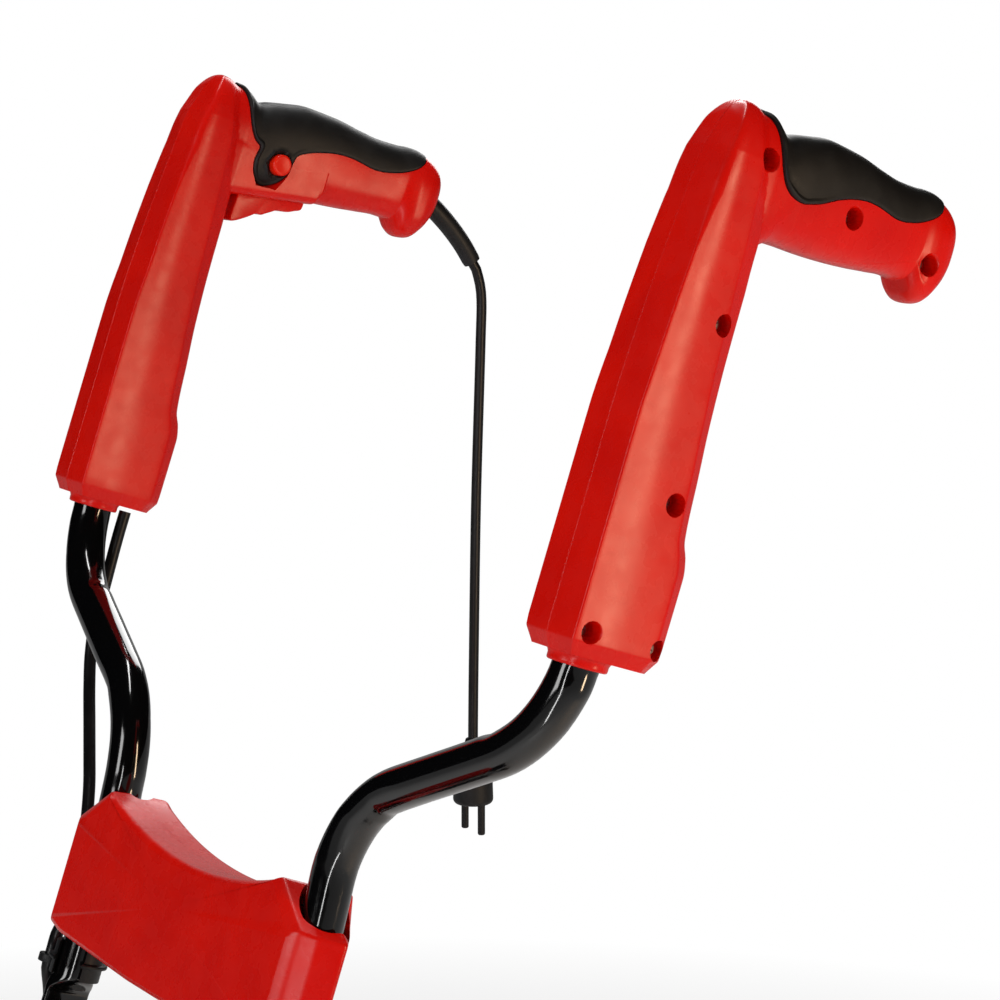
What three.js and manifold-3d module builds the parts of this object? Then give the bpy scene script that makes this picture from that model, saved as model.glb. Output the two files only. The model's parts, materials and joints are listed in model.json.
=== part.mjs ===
// Electric garden tiller: two handle arms on bent tubes, a folding joint, a lower frame, a motor over a
// worm gearbox, four tine stars under a guard, and two transport wheels on a swinging frame.
// Millimetres. +Z up, the operator stands at +Y, and the operator's right hand is on the -X side.
import * as THREE from 'three';
import { mergeVertices } from 'three/addons/utils/BufferGeometryUtils.js';
import Module from 'manifold-3d';

const wasm = await Module();
wasm.setup();

// Driving dimensions of the whole machine
const gap = 0.3;
const overrun = 2;
const weldGap = 1e-5;
const facetLoss = 0.35;
const edgeLoss = 0.04;
const handleSpacing = 490;
const tubeRadius = 11;
const tubeWall = 1.5;
const handleLean = THREE.MathUtils.degToRad(19.5);
const frameLean = THREE.MathUtils.degToRad(34);
const lowerLength = 352;
const footBack = 65.164;
const footUp = 253.179;
const pivotBack = footBack + lowerLength * Math.sin(frameLean);
const pivotUp = footUp + lowerLength * Math.cos(frameLean);
const tineRadius = 100;
const shaftRadius = 10;
const motorBack = 38;
const sheet = 3;

// Handle arm, seen from the side: the tube's axis is its zero line, its lower end face is its zero height
const armLength = 262.3;
const armFront = 21.5;
const armRear = 34.5;
const armHalf = 20;
const armWall = 2.8;
const armAbovePivot = 275;
const tubeInArm = 150;
const collarRadius = 14;
const collarDrop = 7;
const armRibs = 2;
const recessRadius = 4.6;
const recessDepth = 9;

// Grip body behind the arm, its soft pad, and its toe-in towards the middle of the machine
const gripReach = 160;
const gripAxisUp = 233;
const gripHalfHeight = 27.5;
const gripHalfWidth = 18;
const gripWall = 5.6;
const gripToe = 0.128;
const gripToeStart = 20;
const padThickness = 3;
const padProud = 0.8;
const rimProud = 2;
const rimWidth = 2.6;

// Lock-off button and trigger in the right grip
const buttonRadius = 6.3;
const buttonBack = 43.5;
const buttonUp = 221;
const buttonProud = 3.6;
const buttonLength = 14.8;
const buttonFlange = 1.5;
const buttonFlangeRadius = 7.4;
const buttonTravel = 5;
const collarBack = 40.5;
const collarUp = 219.5;
const collarOuter = 11;
const triggerHalf = 6.5;
const triggerPinRadius = 2;
const triggerPinBack = 68;
const triggerPinUp = 213;
const triggerFront = 33;
const triggerLow = 184;
const housingFront = 27;
const housingBack = 74;
const housingLow = 197.5;
const housingRise = 9.5;
const housingHalf = 11.5;
const triggerNoseShare = 0.62;
const gripSideShare = 0.915;
const switchFront = 36;
const switchBack = 60;
const switchLow = 220;
const switchHeight = 8;
const switchWidth = 7;

// Upper tubes: an S-bend from the arm inwards to the bridge cover, then a pressed flat end
const upperInner = 111;
const bendDrop = 33;
const slopeDrop = 64;
const bendRadius = 38;
const bendSteps = 3;
const flatThick = 4.5;
const flatHalf = 13;
const flatReach = 20.5;
const flatTaper = 10.5;
const boltRadius = 3;
const boltHeadRadius = 8;
const boltHeadHeight = 3.2;

// Bridge cover between the upper tubes, heights counted from the fold pivot
const bridgeBottom = 50;
const bridgeTop = 135;
const bridgeSag = 20;
const bridgeShoulder = 20;
const bridgeTopHalf = 92;
const bridgeFaceHalf = 117;
const bridgeEndHalf = 134;
const bridgeFront = 22;
const bridgeBack = 26;
const bridgeWall = 2.6;
const bridgeBottomCut = 13;
const bridgeMouth = 3.5;
const bridgeShelfUp = 99.3;
const sagSteps = 6;

// Star knobs
const knobRadius = 19;
const knobLobe = 3;
const knobLobes = 5;
const knobHeight = 24;
const knobSeatShare = 0.35;
const knobBoreShare = 0.7;
const knobShankShare = 0.6;

// Lower tubes, counted along the frame from the fold pivot
const lowerInner = 81.3;
const lowerBendStart = 90;
const lowerBendEnd = 190;

// Steel yoke: a plate between gearbox and motor, with two cheeks that hold the tubes
const yokePlateUp = 214;
const yokeHalf = 70;
const yokeFront = 22;
const yokeBack = 136;
const yokePlateBack = 108;
const cheekReach = 90;
const plateSlotShare = 0.6;
const wheelPivotBack = 120;
const wheelPivotUp = 236;
const pivotRadius = 4;

// Motor
const motorHalfX = 62;
const motorHalfY = 65;
const motorWall = 3;
const baseHeight = 45;
const coverHeight = 136;
const motorSquareness = 2.6;
const rotorShaftRadius = 5;
const statorRadius = 50;
const statorBore = 28;
const statorHeight = 62;
const rotorSlots = 12;
const fanRadius = 41;
const fanHeight = 14;
const fanBlades = 9;
const commutatorRadius = 14;
const commutatorHeight = 18;
const bearingHeight = 9;
const motorBearingRadius = 11;
const poleShare = 0.42;
const windowShares = [0.8, 0.82];
const rotorToothShare = 0.36;
const rotorSlotShare = 0.62;
const finShare = 0.88;
const slotCount = 6;
const slotWidth = 5;
const slotPitch = 9;
const slotHeight = 42;

// Gearbox with worm and wheel
const gearModule = 2;
const wheelTeeth = 30;
const wormPitchRadius = 8;
const wormLength = 35;
const threadRootShare = 1.2;
const threadTipShare = 0.9;
const toothRootShare = 1.15;
const toothTipShare = 0.85;
const flankSlope = Math.tan(THREE.MathUtils.degToRad(20));
const gearWidth = 16;
const backlash = 0.45;
const gearboxHalf = 26;
const gearboxWall = 5;
const neckHalf = 22;
const flangeOver = 8;
const wheelClear = 5;
const shaftBearingRadius = 17;

// Tine shaft and stars
const hubRadius = 15;
const starPlate = 4;
const starPitch = 66;
const starBlades = 4;
const bladeBend = 10;
const hookTurn = 0.42;
const shaftOver = 8;

// Tine guard
const guardClearance = 8;
const guardHalf = 170;
const guardSkirt = 46;
const guardFrom = 0.2;
const guardTo = 2.65;
const guardSteps = 9;

// Wheels
const wheelRadius = 75;
const wheelWidth = 32;
const wheelSides = 20;
const tyreDepth = 13;
const axleRadius = 6;
const axleBack = 232;
const wheelSpokes = 5;
const wheelArmThick = 5;
const wheelArmHalf = 12;
const crossBarRadius = 8;
const hubReach = 11;
const windowShare = 0.36;
const treadShares = [0.2, 0.8];

// Motor lead, mains cord, cable clips and plug
const leadRadius = 3.5;
const leadExitBack = 19;
const leadExitShift = 4.5;
const leadBendReach = 12;
const cordRadius = 3.15;
const cordDrop = 300;
const cordSwing = 5;
const reliefStart = 6.2;
const reliefEnd = 5.5;
const clipHeight = 18;
const clipWall = 2.4;
const clipMouth = 17;
const clipLeadAside = 17.5;
const clipLeadBeyond = 7.5;
const upperClipUp = 39;
const lowerClipAbove = 137;
const lowerClipDown = lowerLength - lowerClipAbove;
const plugLength = 42;
const plugRadius = 13;
const plugPinRadius = 2.4;
const plugPinSpacing = 19;
const plugPinLength = 19;
const plugNeckShares = [0.4, 0.62];

// Cable gland behind the motor base
const glandSide = 30;
const glandUp = 247;
const glandSeat = 104;
const glandRadius = 8;
const glandNose = 16;
const glandBoreShare = 0.85;

// Round parts are cut into this many sides
const fineSides = 20;
const roundSides = 12;
const tubeSides = 12;
const boreSides = 6;
const holeSides = 8;

// Finishes
const finish = (color, roughness, metalness = 0) =>
  new THREE.MeshStandardMaterial({ color, roughness, metalness });
const redPlastic = finish(0xc81208, 0.38);
const buttonRed = finish(0xe8301c, 0.3);
const softBlack = finish(0x1c1c1e, 0.72);
const blackPlastic = finish(0x17181a, 0.5);
const cordBlack = finish(0x101012, 0.45);
const blackPaint = finish(0x08080a, 0.18, 0.2);
const castMetal = finish(0x9a9da0, 0.5, 0.8);
const steel = finish(0xb6b8bc, 0.35, 0.9);
const darkSteel = finish(0x54575b, 0.45, 0.85);
const copper = finish(0xb5693a, 0.4, 0.9);
const brass = finish(0xc9a24b, 0.4, 0.9);
const tyreRubber = finish(0x1b1b1c, 0.85);

// Solids: three.js geometry in, joined and cut, three.js geometry out
function toSolid(geometry) {
  const bare = geometry.clone();
  bare.deleteAttribute('normal');
  bare.deleteAttribute('uv');
  const welded = mergeVertices(bare, weldGap);
  return new wasm.Manifold(new wasm.Mesh({
    numProp: 3,
    vertProperties: new Float32Array(welded.attributes.position.array),
    triVerts: new Uint32Array(welded.index.array),
  }));
}

function toGeometry(solid) {
  const net = solid.simplify(edgeLoss).getMesh();
  const geometry = new THREE.BufferGeometry();
  geometry.setAttribute('position', new THREE.BufferAttribute(new Float32Array(net.vertProperties), 3));
  geometry.setIndex(new THREE.BufferAttribute(new Uint32Array(net.triVerts), 1));
  return geometry;
}

const join = (...solids) => solids.reduce((sum, solid) => sum.add(solid));
const cut = (body, ...tools) => tools.reduce((rest, tool) => rest.subtract(tool), body);

function mesh(name, shape, material) {
  const geometry = shape.isBufferGeometry ? shape : toGeometry(shape);
  const piece = new THREE.Mesh(geometry, material);
  piece.name = name;
  return piece;
}

// Mirrors a geometry across its X = 0 plane and turns its faces outwards again
function mirrored(shape) {
  const geometry = shape.isBufferGeometry ? shape.clone() : toGeometry(shape);
  geometry.scale(-1, 1, 1);
  const index = geometry.index.array;
  for (let i = 0; i < index.length; i += 3) {
    [index[i], index[i + 1]] = [index[i + 1], index[i]];
  }
  return geometry;
}

// Flat faces over the two ends of a loft
function capFaces(ring, offset) {
  const normal = new THREE.Vector3();
  const middle = new THREE.Vector3();
  ring.forEach((point) => middle.addScaledVector(point, 1 / ring.length));
  ring.forEach((point, i) => {
    const next = ring[(i + 1) % ring.length];
    normal.add(point.clone().sub(middle).cross(next.clone().sub(middle)));
  });
  normal.normalize();
  const steepShare = 0.9;
  const side = new THREE.Vector3(1, 0, 0);
  if (Math.abs(normal.x) > steepShare) side.set(0, 1, 0);
  const across = side.cross(normal).normalize();
  const along = normal.clone().cross(across);
  const flat = ring.map((point) => new THREE.Vector2(point.dot(across), point.dot(along)));
  return THREE.ShapeUtils.triangulateShape(flat, []).map((face) => face.map((corner) => corner + offset));
}

// A closed skin over rings of equal point counts; a signed volume turns all faces outwards
function loft(rings) {
  const count = rings[0].length;
  const points = rings.flat();
  const faces = [];
  for (let r = 0; r + 1 < rings.length; r += 1) {
    for (let i = 0; i < count; i += 1) {
      const a = r * count + i;
      const b = r * count + ((i + 1) % count);
      faces.push([a, b, b + count], [a, b + count, a + count]);
    }
  }
  capFaces(rings[0], 0).forEach(([a, b, c]) => faces.push([a, c, b]));
  capFaces(rings.at(-1), points.length - count).forEach((face) => faces.push(face));
  let volume = 0;
  for (const [a, b, c] of faces) volume += points[a].dot(points[b].clone().cross(points[c]));
  if (volume < 0) faces.forEach((face) => face.reverse());
  const geometry = new THREE.BufferGeometry().setFromPoints(points);
  geometry.setIndex(faces.flat());
  return geometry;
}

const loftSolid = (rings) => toSolid(loft(rings));

// A prism over an outline in the plane of the second and third axis, from x = low to x = high
function sidePrism(outline, low, high, bevel = 0) {
  const shape = new THREE.Shape(outline.map(([y, z]) => new THREE.Vector2(y, z)));
  const geometry = new THREE.ExtrudeGeometry(shape, {
    depth: high - low - 2 * bevel,
    bevelEnabled: bevel > 0,
    bevelThickness: bevel,
    bevelSize: bevel,
    bevelOffset: -bevel,
    bevelSegments: 1,
  });
  geometry.translate(0, 0, low + bevel);
  geometry.applyMatrix4(new THREE.Matrix4().set(0, 0, 1, 0, 1, 0, 0, 0, 0, 1, 0, 0, 0, 0, 0, 1));
  return toSolid(geometry);
}

// A prism over an outline in the horizontal plane, from z = low to z = high
function standPrism(shape, low, high) {
  const geometry = new THREE.ExtrudeGeometry(shape, { depth: high - low, bevelEnabled: false });
  geometry.translate(0, 0, low);
  return toSolid(geometry);
}

function box(lowX, highX, lowY, highY, lowZ, highZ) {
  const geometry = new THREE.BoxGeometry(highX - lowX, highY - lowY, highZ - lowZ);
  geometry.translate((lowX + highX) / 2, (lowY + highY) / 2, (lowZ + highZ) / 2);
  return toSolid(geometry);
}

// A round bar along X, through y, z
function crossBar(radius, low, high, y, z, sides = holeSides, endRadius = radius) {
  const geometry = new THREE.CylinderGeometry(endRadius, radius, high - low, sides);
  geometry.rotateZ(-Math.PI / 2);
  geometry.translate((low + high) / 2, y, z);
  return toSolid(geometry);
}

// A revolved body that stands on Z, from a closed profile of [radius, height] points
function revolve(profile, sides = fineSides) {
  const points = profile.map(([radius, height]) => new THREE.Vector2(radius, height));
  const closed = profile[0][0] === 0 && profile.at(-1)[0] === 0;
  if (!closed) points.push(points[0].clone());
  const geometry = new THREE.LatheGeometry(points, sides);
  geometry.rotateX(Math.PI / 2);
  const solid = toSolid(fixFacing(geometry));
  return solid;
}

// Turns a geometry's faces outwards if its signed volume is negative
function fixFacing(geometry) {
  const position = geometry.attributes.position;
  const index = geometry.index.array;
  const corner = (i) => new THREE.Vector3().fromBufferAttribute(position, index[i]);
  let volume = 0;
  for (let i = 0; i < index.length; i += 3) volume += corner(i).dot(corner(i + 1).cross(corner(i + 2)));
  if (volume > 0) return geometry;
  for (let i = 0; i < index.length; i += 3) {
    [index[i], index[i + 1]] = [index[i + 1], index[i]];
  }
  return geometry;
}

// The corner radius of a many-sided hole that clears a round piece by the gap
const around = (radius, sides = roundSides) => (radius + gap) / Math.cos(Math.PI / sides);

const circle = (radius, sides, y = 0, z = 0, start = 0) => Array.from({ length: sides }, (_, i) => {
  const angle = start + (2 * Math.PI * i) / sides;
  return [y + radius * Math.cos(angle), z + radius * Math.sin(angle)];
});

// A superellipse ring: squareness 2 is an ellipse, more is squarer
function ovalPoint(angle, halfA, halfB, squareness) {
  const c = Math.cos(angle);
  const s = Math.sin(angle);
  return [
    halfA * Math.sign(c) * Math.abs(c) ** (2 / squareness),
    halfB * Math.sign(s) * Math.abs(s) ** (2 / squareness),
  ];
}

// Handle arm: rows are shares of length, front depth, rear depth and half width, and where the rear
// edge turns in
const armRowShares = [
  [0, 0.81, 0.87, 0.825, 0.1],
  [0.03, 0.99, 0.985, 0.975, 0.1],
  [0.061, 1, 0.99, 1, 0.1],
  [0.19, 1, 1, 1, 0.1],
  [0.221, 1, 0.955, 1, 0.1],
  [0.252, 1, 0.855, 1, 0.1],
  [0.362, 1, 0.775, 1, 0.1],
  [0.457, 0.995, 0.72, 1, 0.1],
  [0.572, 0.94, 0.69, 1, 0.11],
  [0.762, 0.77, 0.68, 0.985, 0.17],
  [0.82, 0.705, 0.625, 0.98, 0.21],
  [0.869, 0.65, 0.57, 0.97, 0.24],
  [0.9035, 0.57, 0.52, 0.93, 0.25],
  [0.934, 0.42, 0.465, 0.83, 0.25],
  [0.959, 0.29, 0.39, 0.69, 0.25],
  [0.978, 0.16, 0.305, 0.53, 0.25],
  [0.991, 0.04, 0.22, 0.35, 0.25],
  [1, -0.07, 0.145, 0.175, 0.25],
];

// One side of an arm's section, front to back: shares of half width and of depth
function armSideShares(turnShare) {
  const chamferShare = 0.015;
  return [
    [0.93, 0.028],
    [0.985, 0.085],
    [1, 0.22],
    [0.975, 1 - 1.6 * turnShare],
    [0.92, 1 - turnShare],
    [0.74, 1 - chamferShare],
  ];
}

function armRing([upShare, frontShare, rearShare, halfShare, turnShare], inset) {
  const front = armFront * frontShare - inset;
  const depth = front + armRear * rearShare - inset;
  const half = armHalf * halfShare - inset;
  const up = armLength * upShare;
  const side = armSideShares(turnShare);
  const at = ([acrossShare, backShare], hand) =>
    new THREE.Vector3(hand * half * acrossShare, depth * backShare - front, up);
  return [
    at([0, 0], 1),
    ...side.map((shares) => at(shares, 1)),
    at([0, 1], 1),
    ...side.map((shares) => at(shares, -1)).reverse(),
  ];
}

const hollowUpShares = [0.061, 0.252, 0.572, 0.9035];
const armBody = loftSolid(armRowShares.map((row) => armRing(row, 0)));

// The arm's hollow stops below the head, and cross walls with a hole each hold the tube
function armHollow() {
  const rows = armRowShares.filter(([upShare]) => hollowUpShares.includes(upShare));
  let hollow = loftSolid(rows.map((row) => armRing(row, armWall)));
  for (let i = 1; i < armRibs; i += 1) {
    const up = (tubeInArm * i) / armRibs + armWall;
    hollow = hollow.subtract(box(-armHalf, armHalf, -armFront, armRear, up, up + armWall));
  }
  const stop = tubeInArm + gap;
  return hollow.subtract(box(-armHalf, armHalf, -armFront, armRear, stop, stop + armWall));
}

// Grip body: rows are shares of reach, top, bottom and half width
const gripRowShares = [
  [-0.04, 0.84, 1.49, 0.8],
  [0.06, 0.97, 1.49, 0.83],
  [0.154, 0.935, 1.33, 0.855],
  [0.213, 0.74, 1.03, 0.885],
  [0.256, 0.84, 0.975, 0.905],
  [0.3, 0.91, 0.955, 0.915],
  [0.388, 0.99, 0.94, 0.915],
  [0.488, 0.99, 0.89, 0.895],
  [0.6, 0.955, 0.815, 0.855],
  [0.75, 0.98, 0.685, 0.82],
  [0.788, 0.99, 0.72, 0.85],
  [0.856, 0.955, 0.915, 0.975],
  [0.894, 0.91, 0.925, 1],
  [0.925, 0.85, 0.85, 0.97],
  [0.95, 0.775, 0.705, 0.9],
  [0.987, 0.475, 0.235, 0.5],
  [0.994, 0.29, 0.035, 0.22],
];
const gripSquareness = 2.5;
const gripPoints = 16;
const hollowPoints = 10;

const toeAt = (back) => -gripToe * Math.max(0, back - gripToeStart);

function gripRing([backShare, topShare, bottomShare, halfShare], proud, count) {
  const top = gripHalfHeight * topShare + proud;
  const bottom = gripHalfHeight * bottomShare + proud;
  const half = gripHalfWidth * halfShare + proud;
  const back = gripReach * backShare;
  return Array.from({ length: count }, (_, i) => {
    const [x, z] = ovalPoint((2 * Math.PI * i) / count, half, (top + bottom) / 2, gripSquareness);
    return new THREE.Vector3(toeAt(back) + x, back, gripAxisUp + (top - bottom) / 2 + z);
  });
}

const gripLoft = (proud) => loftSolid(gripRowShares.map((row) => gripRing(row, proud, gripPoints)));

function gripHollow() {
  const [nearShare, farShare] = [0.1, 0.98];
  const inside = gripRowShares.filter(([backShare]) => backShare > nearShare && backShare < farShare);
  const rows = inside.filter((_, i) => i % 3 === 1);
  return loftSolid(rows.map((row) => gripRing(row, -gripWall, hollowPoints)));
}

// Lower edge of the soft pad, as shares of the grip's reach and half height
const padEdgeShares = [
  [0.05, 1.16],
  [0.08, 0.98],
  [0.113, 0.65],
  [0.134, 0.25],
  [0.166, -0.06],
  [0.216, -0.22],
  [0.284, -0.19],
  [0.381, 0.06],
  [0.5, 0.25],
  [0.597, 0.225],
  [0.69, 0.22],
  [0.79, 0.48],
  [0.856, 0.855],
  [0.906, 1.16],
];
const padEdgeSteps = 20;

function padEdge() {
  const points = padEdgeShares.map(([backShare, upShare]) =>
    new THREE.Vector2(gripReach * backShare, gripAxisUp + gripHalfHeight * upShare));
  return new THREE.SplineCurve(points).getPoints(padEdgeSteps).map((point) => [point.x, point.y]);
}

// The pad's edge moved sideways by a distance; positive is into the pad
function movedEdge(distance) {
  const edge = padEdge();
  return edge.map(([back, up], i) => {
    const [backA, upA] = edge[Math.max(0, i - 1)];
    const [backB, upB] = edge[Math.min(edge.length - 1, i + 1)];
    const run = Math.hypot(backB - backA, upB - upA);
    return [back - ((upB - upA) / run) * distance, up + ((backB - backA) / run) * distance];
  });
}

function padZone(distance) {
  const above = gripAxisUp + 2 * gripHalfHeight;
  const edge = movedEdge(distance);
  const outline = [[edge[0][0], above], ...edge, [edge.at(-1)[0], above]];
  return sidePrism(outline, -armHalf * 2, armHalf * 2);
}

// The rim bead runs along the front part of the pad's edge
function rimZone() {
  const outer = movedEdge(0);
  const inner = movedEdge(rimWidth);
  const lastShare = 0.36;
  const keep = Math.round(outer.length * lastShare);
  const outline = [...outer.slice(0, keep), ...inner.slice(0, keep).reverse()];
  return sidePrism(outline, -armHalf * 2, armHalf * 2);
}

// The pad's tail around the lock-off button, on the grip's inner side only
function collarZone(grow) {
  const top = gripAxisUp + gripHalfHeight / 2;
  const half = collarOuter + grow;
  const steps = roundSides / 2;
  const under = Array.from({ length: steps + 1 }, (_, i) => {
    const angle = Math.PI + (Math.PI * i) / steps;
    return [collarBack + half * Math.cos(angle), collarUp + half * Math.sin(angle)];
  });
  const inside = triggerMiddle - triggerHalf - 4 * gap;
  return sidePrism([[collarBack - half, top], ...under, [collarBack + half, top]], -2 * armHalf, inside + grow);
}

function gripPad(isRight) {
  const core = gripLoft(-padThickness);
  let zone = padZone(0);
  if (isRight) zone = zone.add(collarZone(0));
  const skin = gripLoft(padProud).intersect(zone);
  const rim = gripLoft(rimProud).intersect(rimZone());
  let pad = cut(skin.add(rim), core, grownHead());
  if (isRight) pad = pad.subtract(buttonBar(gap, -2 * armHalf, 0));
  return largest(pad.simplify(facetLoss));
}

// The arm's head, grown by the gap that keeps the pad off it
const grownHead = () => loftSolid(armRowShares.map((row) => armRing(row, -gap)));

// The largest of a solid's separate bodies
function largest(solid) {
  const bodies = solid.decompose();
  return bodies.reduce((best, body) => (body.volume() > best.volume() ? body : best));
}

const buttonBar = (grow, low, high) =>
  crossBar(buttonRadius + grow, low, high, buttonBack, buttonUp, roundSides);

// The lock-off button's face stands proud of the pad; a flange behind the wall keeps it in
const buttonFace = toeAt(buttonBack) - gripHalfWidth * gripSideShare - buttonProud;
const buttonEnd = buttonFace + buttonLength;
const flangeBar = (grow, low, high) =>
  crossBar(buttonFlangeRadius + grow, low, high, buttonBack, buttonUp, roundSides);
const flangeLow = buttonEnd - 2 * buttonFlange;

function lockOffButton() {
  return join(buttonBar(0, buttonFace, buttonEnd), flangeBar(0, flangeLow, flangeLow + buttonFlange));
}

const buttonRoom = () => flangeBar(gap, flangeLow - gap, buttonEnd + buttonTravel);

// Screw recesses on the outer face: shares of the arm's depth and length, then of the grip's
const armRecessShares = [[0.28, 0.93], [0.24, 0.62], [0.272, 0.305], [-0.24, 0.06], [0.496, 0.06]];
const gripRecessShares = [[0.473, 0.11], [0.833, 0.32]];

function recesses() {
  const deep = 2 * armHalf;
  const arms = armRecessShares.map(([backShare, upShare]) => {
    const start = armHalf - recessDepth;
    return crossBar(recessRadius, start, deep, (armFront + armRear) * backShare, armLength * upShare);
  });
  const grips = gripRecessShares.map(([backShare, upShare]) => {
    const back = gripReach * backShare;
    const start = toeAt(back) + gripHalfWidth - recessDepth;
    return crossBar(recessRadius, start, deep, back, gripAxisUp - gripHalfHeight * upShare);
  });
  return [...arms, ...grips];
}

// Trigger housing under the right grip
function triggerHousing() {
  const outline = [
    [housingFront, gripAxisUp],
    [housingFront, housingLow],
    [housingBack, housingLow + housingRise],
    [housingBack + sheet, gripAxisUp - gripHalfHeight / 2],
  ];
  return sidePrism(outline, toeAt(housingBack) - housingHalf, housingHalf - sheet, gap);
}

// Outline of the trigger: finger scallops below, a flat top and a rounded heel at the pin
function triggerOutline(grow = 0) {
  const back = triggerPinBack - triggerFront;
  const rise = triggerPinUp - triggerLow;
  const scallopShares = [
    [0, 0], [0.12, 0.1], [0.28, 0.22], [0.42, 0.27], [0.54, 0.33],
    [0.66, 0.47], [0.8, 0.54], [0.98, 0.6], [1.13, 0.68],
  ];
  const under = scallopShares.map(([backShare, upShare]) =>
    [triggerFront + back * backShare, triggerLow + rise * upShare - grow]);
  return [
    [triggerFront - grow, triggerLow + rise * triggerNoseShare + grow],
    [triggerFront - grow, triggerLow - grow],
    ...under.slice(1),
    [triggerPinBack + 2 * triggerPinRadius + grow, triggerPinUp],
    [triggerPinBack, triggerPinUp + 2 * triggerPinRadius + grow],
    [triggerPinBack - 2 * triggerPinRadius, triggerPinUp + triggerPinRadius + grow],
  ];
}

const triggerMiddle = toeAt((triggerFront + triggerPinBack) / 2);

function trigger() {
  const body = sidePrism(triggerOutline(), triggerMiddle - triggerHalf, triggerMiddle + triggerHalf, gap);
  const wide = 2 * armHalf;
  return body.subtract(crossBar(around(triggerPinRadius, holeSides), -wide, wide, triggerPinBack, triggerPinUp));
}

// Room for the trigger at rest and pulled
function triggerPocket() {
  const clear = 2 * gap;
  const outline = [
    [triggerFront - sheet, gripAxisUp - gripHalfHeight / 2],
    [triggerFront - sheet, triggerLow - sheet],
    [triggerPinBack + 2 * triggerPinRadius + 2 * clear, triggerLow - sheet],
    [triggerPinBack + 2 * triggerPinRadius + 2 * clear, gripAxisUp - gripHalfHeight / 2],
  ];
  return sidePrism(outline, triggerMiddle - triggerHalf - clear, triggerMiddle + triggerHalf + clear);
}

// Route of the mains cord's strain relief in the grip's own plane: [back, up]
const reliefRoute = [[148, 233.5], [158.8, 228.5], [170, 222.3], [181, 214.8], [190.7, 206.6]];

function tubeRings(points, radii, sides) {
  const rings = [];
  let across = new THREE.Vector3(1, 0, 0);
  points.forEach((point, i) => {
    const before = points[Math.max(0, i - 1)];
    const after = points[Math.min(points.length - 1, i + 1)];
    const along = after.clone().sub(before).normalize();
    across = across.clone().addScaledVector(along, -across.dot(along)).normalize();
    const up = along.clone().cross(across);
    rings.push(Array.from({ length: sides }, (_, k) => {
      const angle = (2 * Math.PI * (k + 0.5)) / sides;
      return point.clone()
        .addScaledVector(across, radii[i] * Math.cos(angle))
        .addScaledVector(up, radii[i] * Math.sin(angle));
    }));
  });
  return rings;
}

function reliefSolid(grow) {
  const points = reliefRoute.map(([back, up]) => new THREE.Vector3(toeAt(back), back, up));
  const radii = points.map((_, i) =>
    reliefStart + grow + ((reliefEnd - reliefStart) * i) / (points.length - 1));
  return loftSolid(tubeRings(points, radii, roundSides));
}

// One arm, in its own frame: X outwards, Y back, Z up the tube
function armShells(isRight) {
  let body = join(armBody, gripLoft(0));
  if (isRight) body = body.add(triggerHousing());
  body = body.add(post(collarRadius, -collarDrop, armWall));
  const tube = post(around(tubeRadius), -collarDrop - overrun, tubeInArm + gap);
  const core = gripLoft(-padThickness - gap);
  let padSeat = padZone(-gap);
  if (isRight) padSeat = padSeat.add(collarZone(gap));
  const padRoom = cut(padSeat, core, grownHead());
  body = cut(body, armHollow(), gripHollow(), padRoom, tube, ...recesses());
  if (isRight) {
    body = cut(body, triggerPocket(), buttonBar(gap, -2 * armHalf, gripHalfWidth / 2), reliefSolid(gap));
    body = cut(body, crossBar(around(triggerPinRadius, holeSides), triggerMiddle - housingHalf + sheet,
      triggerMiddle + housingHalf - sheet, triggerPinBack, triggerPinUp));
    body = cut(body, leadRoom(), buttonRoom());
  }
  body = body.simplify(facetLoss);
  const wide = 3 * armHalf;
  const tall = 2 * armLength;
  const outer = largest(body.intersect(box(gap / 2, wide, -wide, 2 * gripReach, -tall, tall)));
  const innerHalf = largest(body.intersect(box(-wide, -gap / 2, -wide, 2 * gripReach, -tall, tall)));
  return { outer, inner: innerHalf };
}

// The motor lead leaves the right arm through its bottom face, behind the tube
function leadRoom() {
  const room = post(around(leadRadius, holeSides), -armWall, 4 * armWall, holeSides);
  return room.translate(-leadExitShift, leadExitBack, 0);
}

// Straight runs with rounded corners, in the plane of X and Z
function roundedRun(corners, radius, bendSteps) {
  const points = [corners[0].clone()];
  for (let i = 1; i + 1 < corners.length; i += 1) {
    const into = corners[i].clone().sub(corners[i - 1]).normalize();
    const out = corners[i + 1].clone().sub(corners[i]).normalize();
    const turn = into.angleTo(out);
    const reach = radius * Math.tan(turn / 2);
    const start = corners[i].clone().addScaledVector(into, -reach);
    const inward = out.clone().addScaledVector(into, -out.dot(into)).normalize();
    const centre = start.clone().addScaledVector(inward, radius);
    for (let k = 0; k <= bendSteps; k += 1) {
      const angle = (turn * k) / bendSteps;
      points.push(centre.clone()
        .addScaledVector(inward, -radius * Math.cos(angle))
        .addScaledVector(into, radius * Math.sin(angle)));
    }
  }
  points.push(corners.at(-1).clone());
  return points;
}

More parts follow.
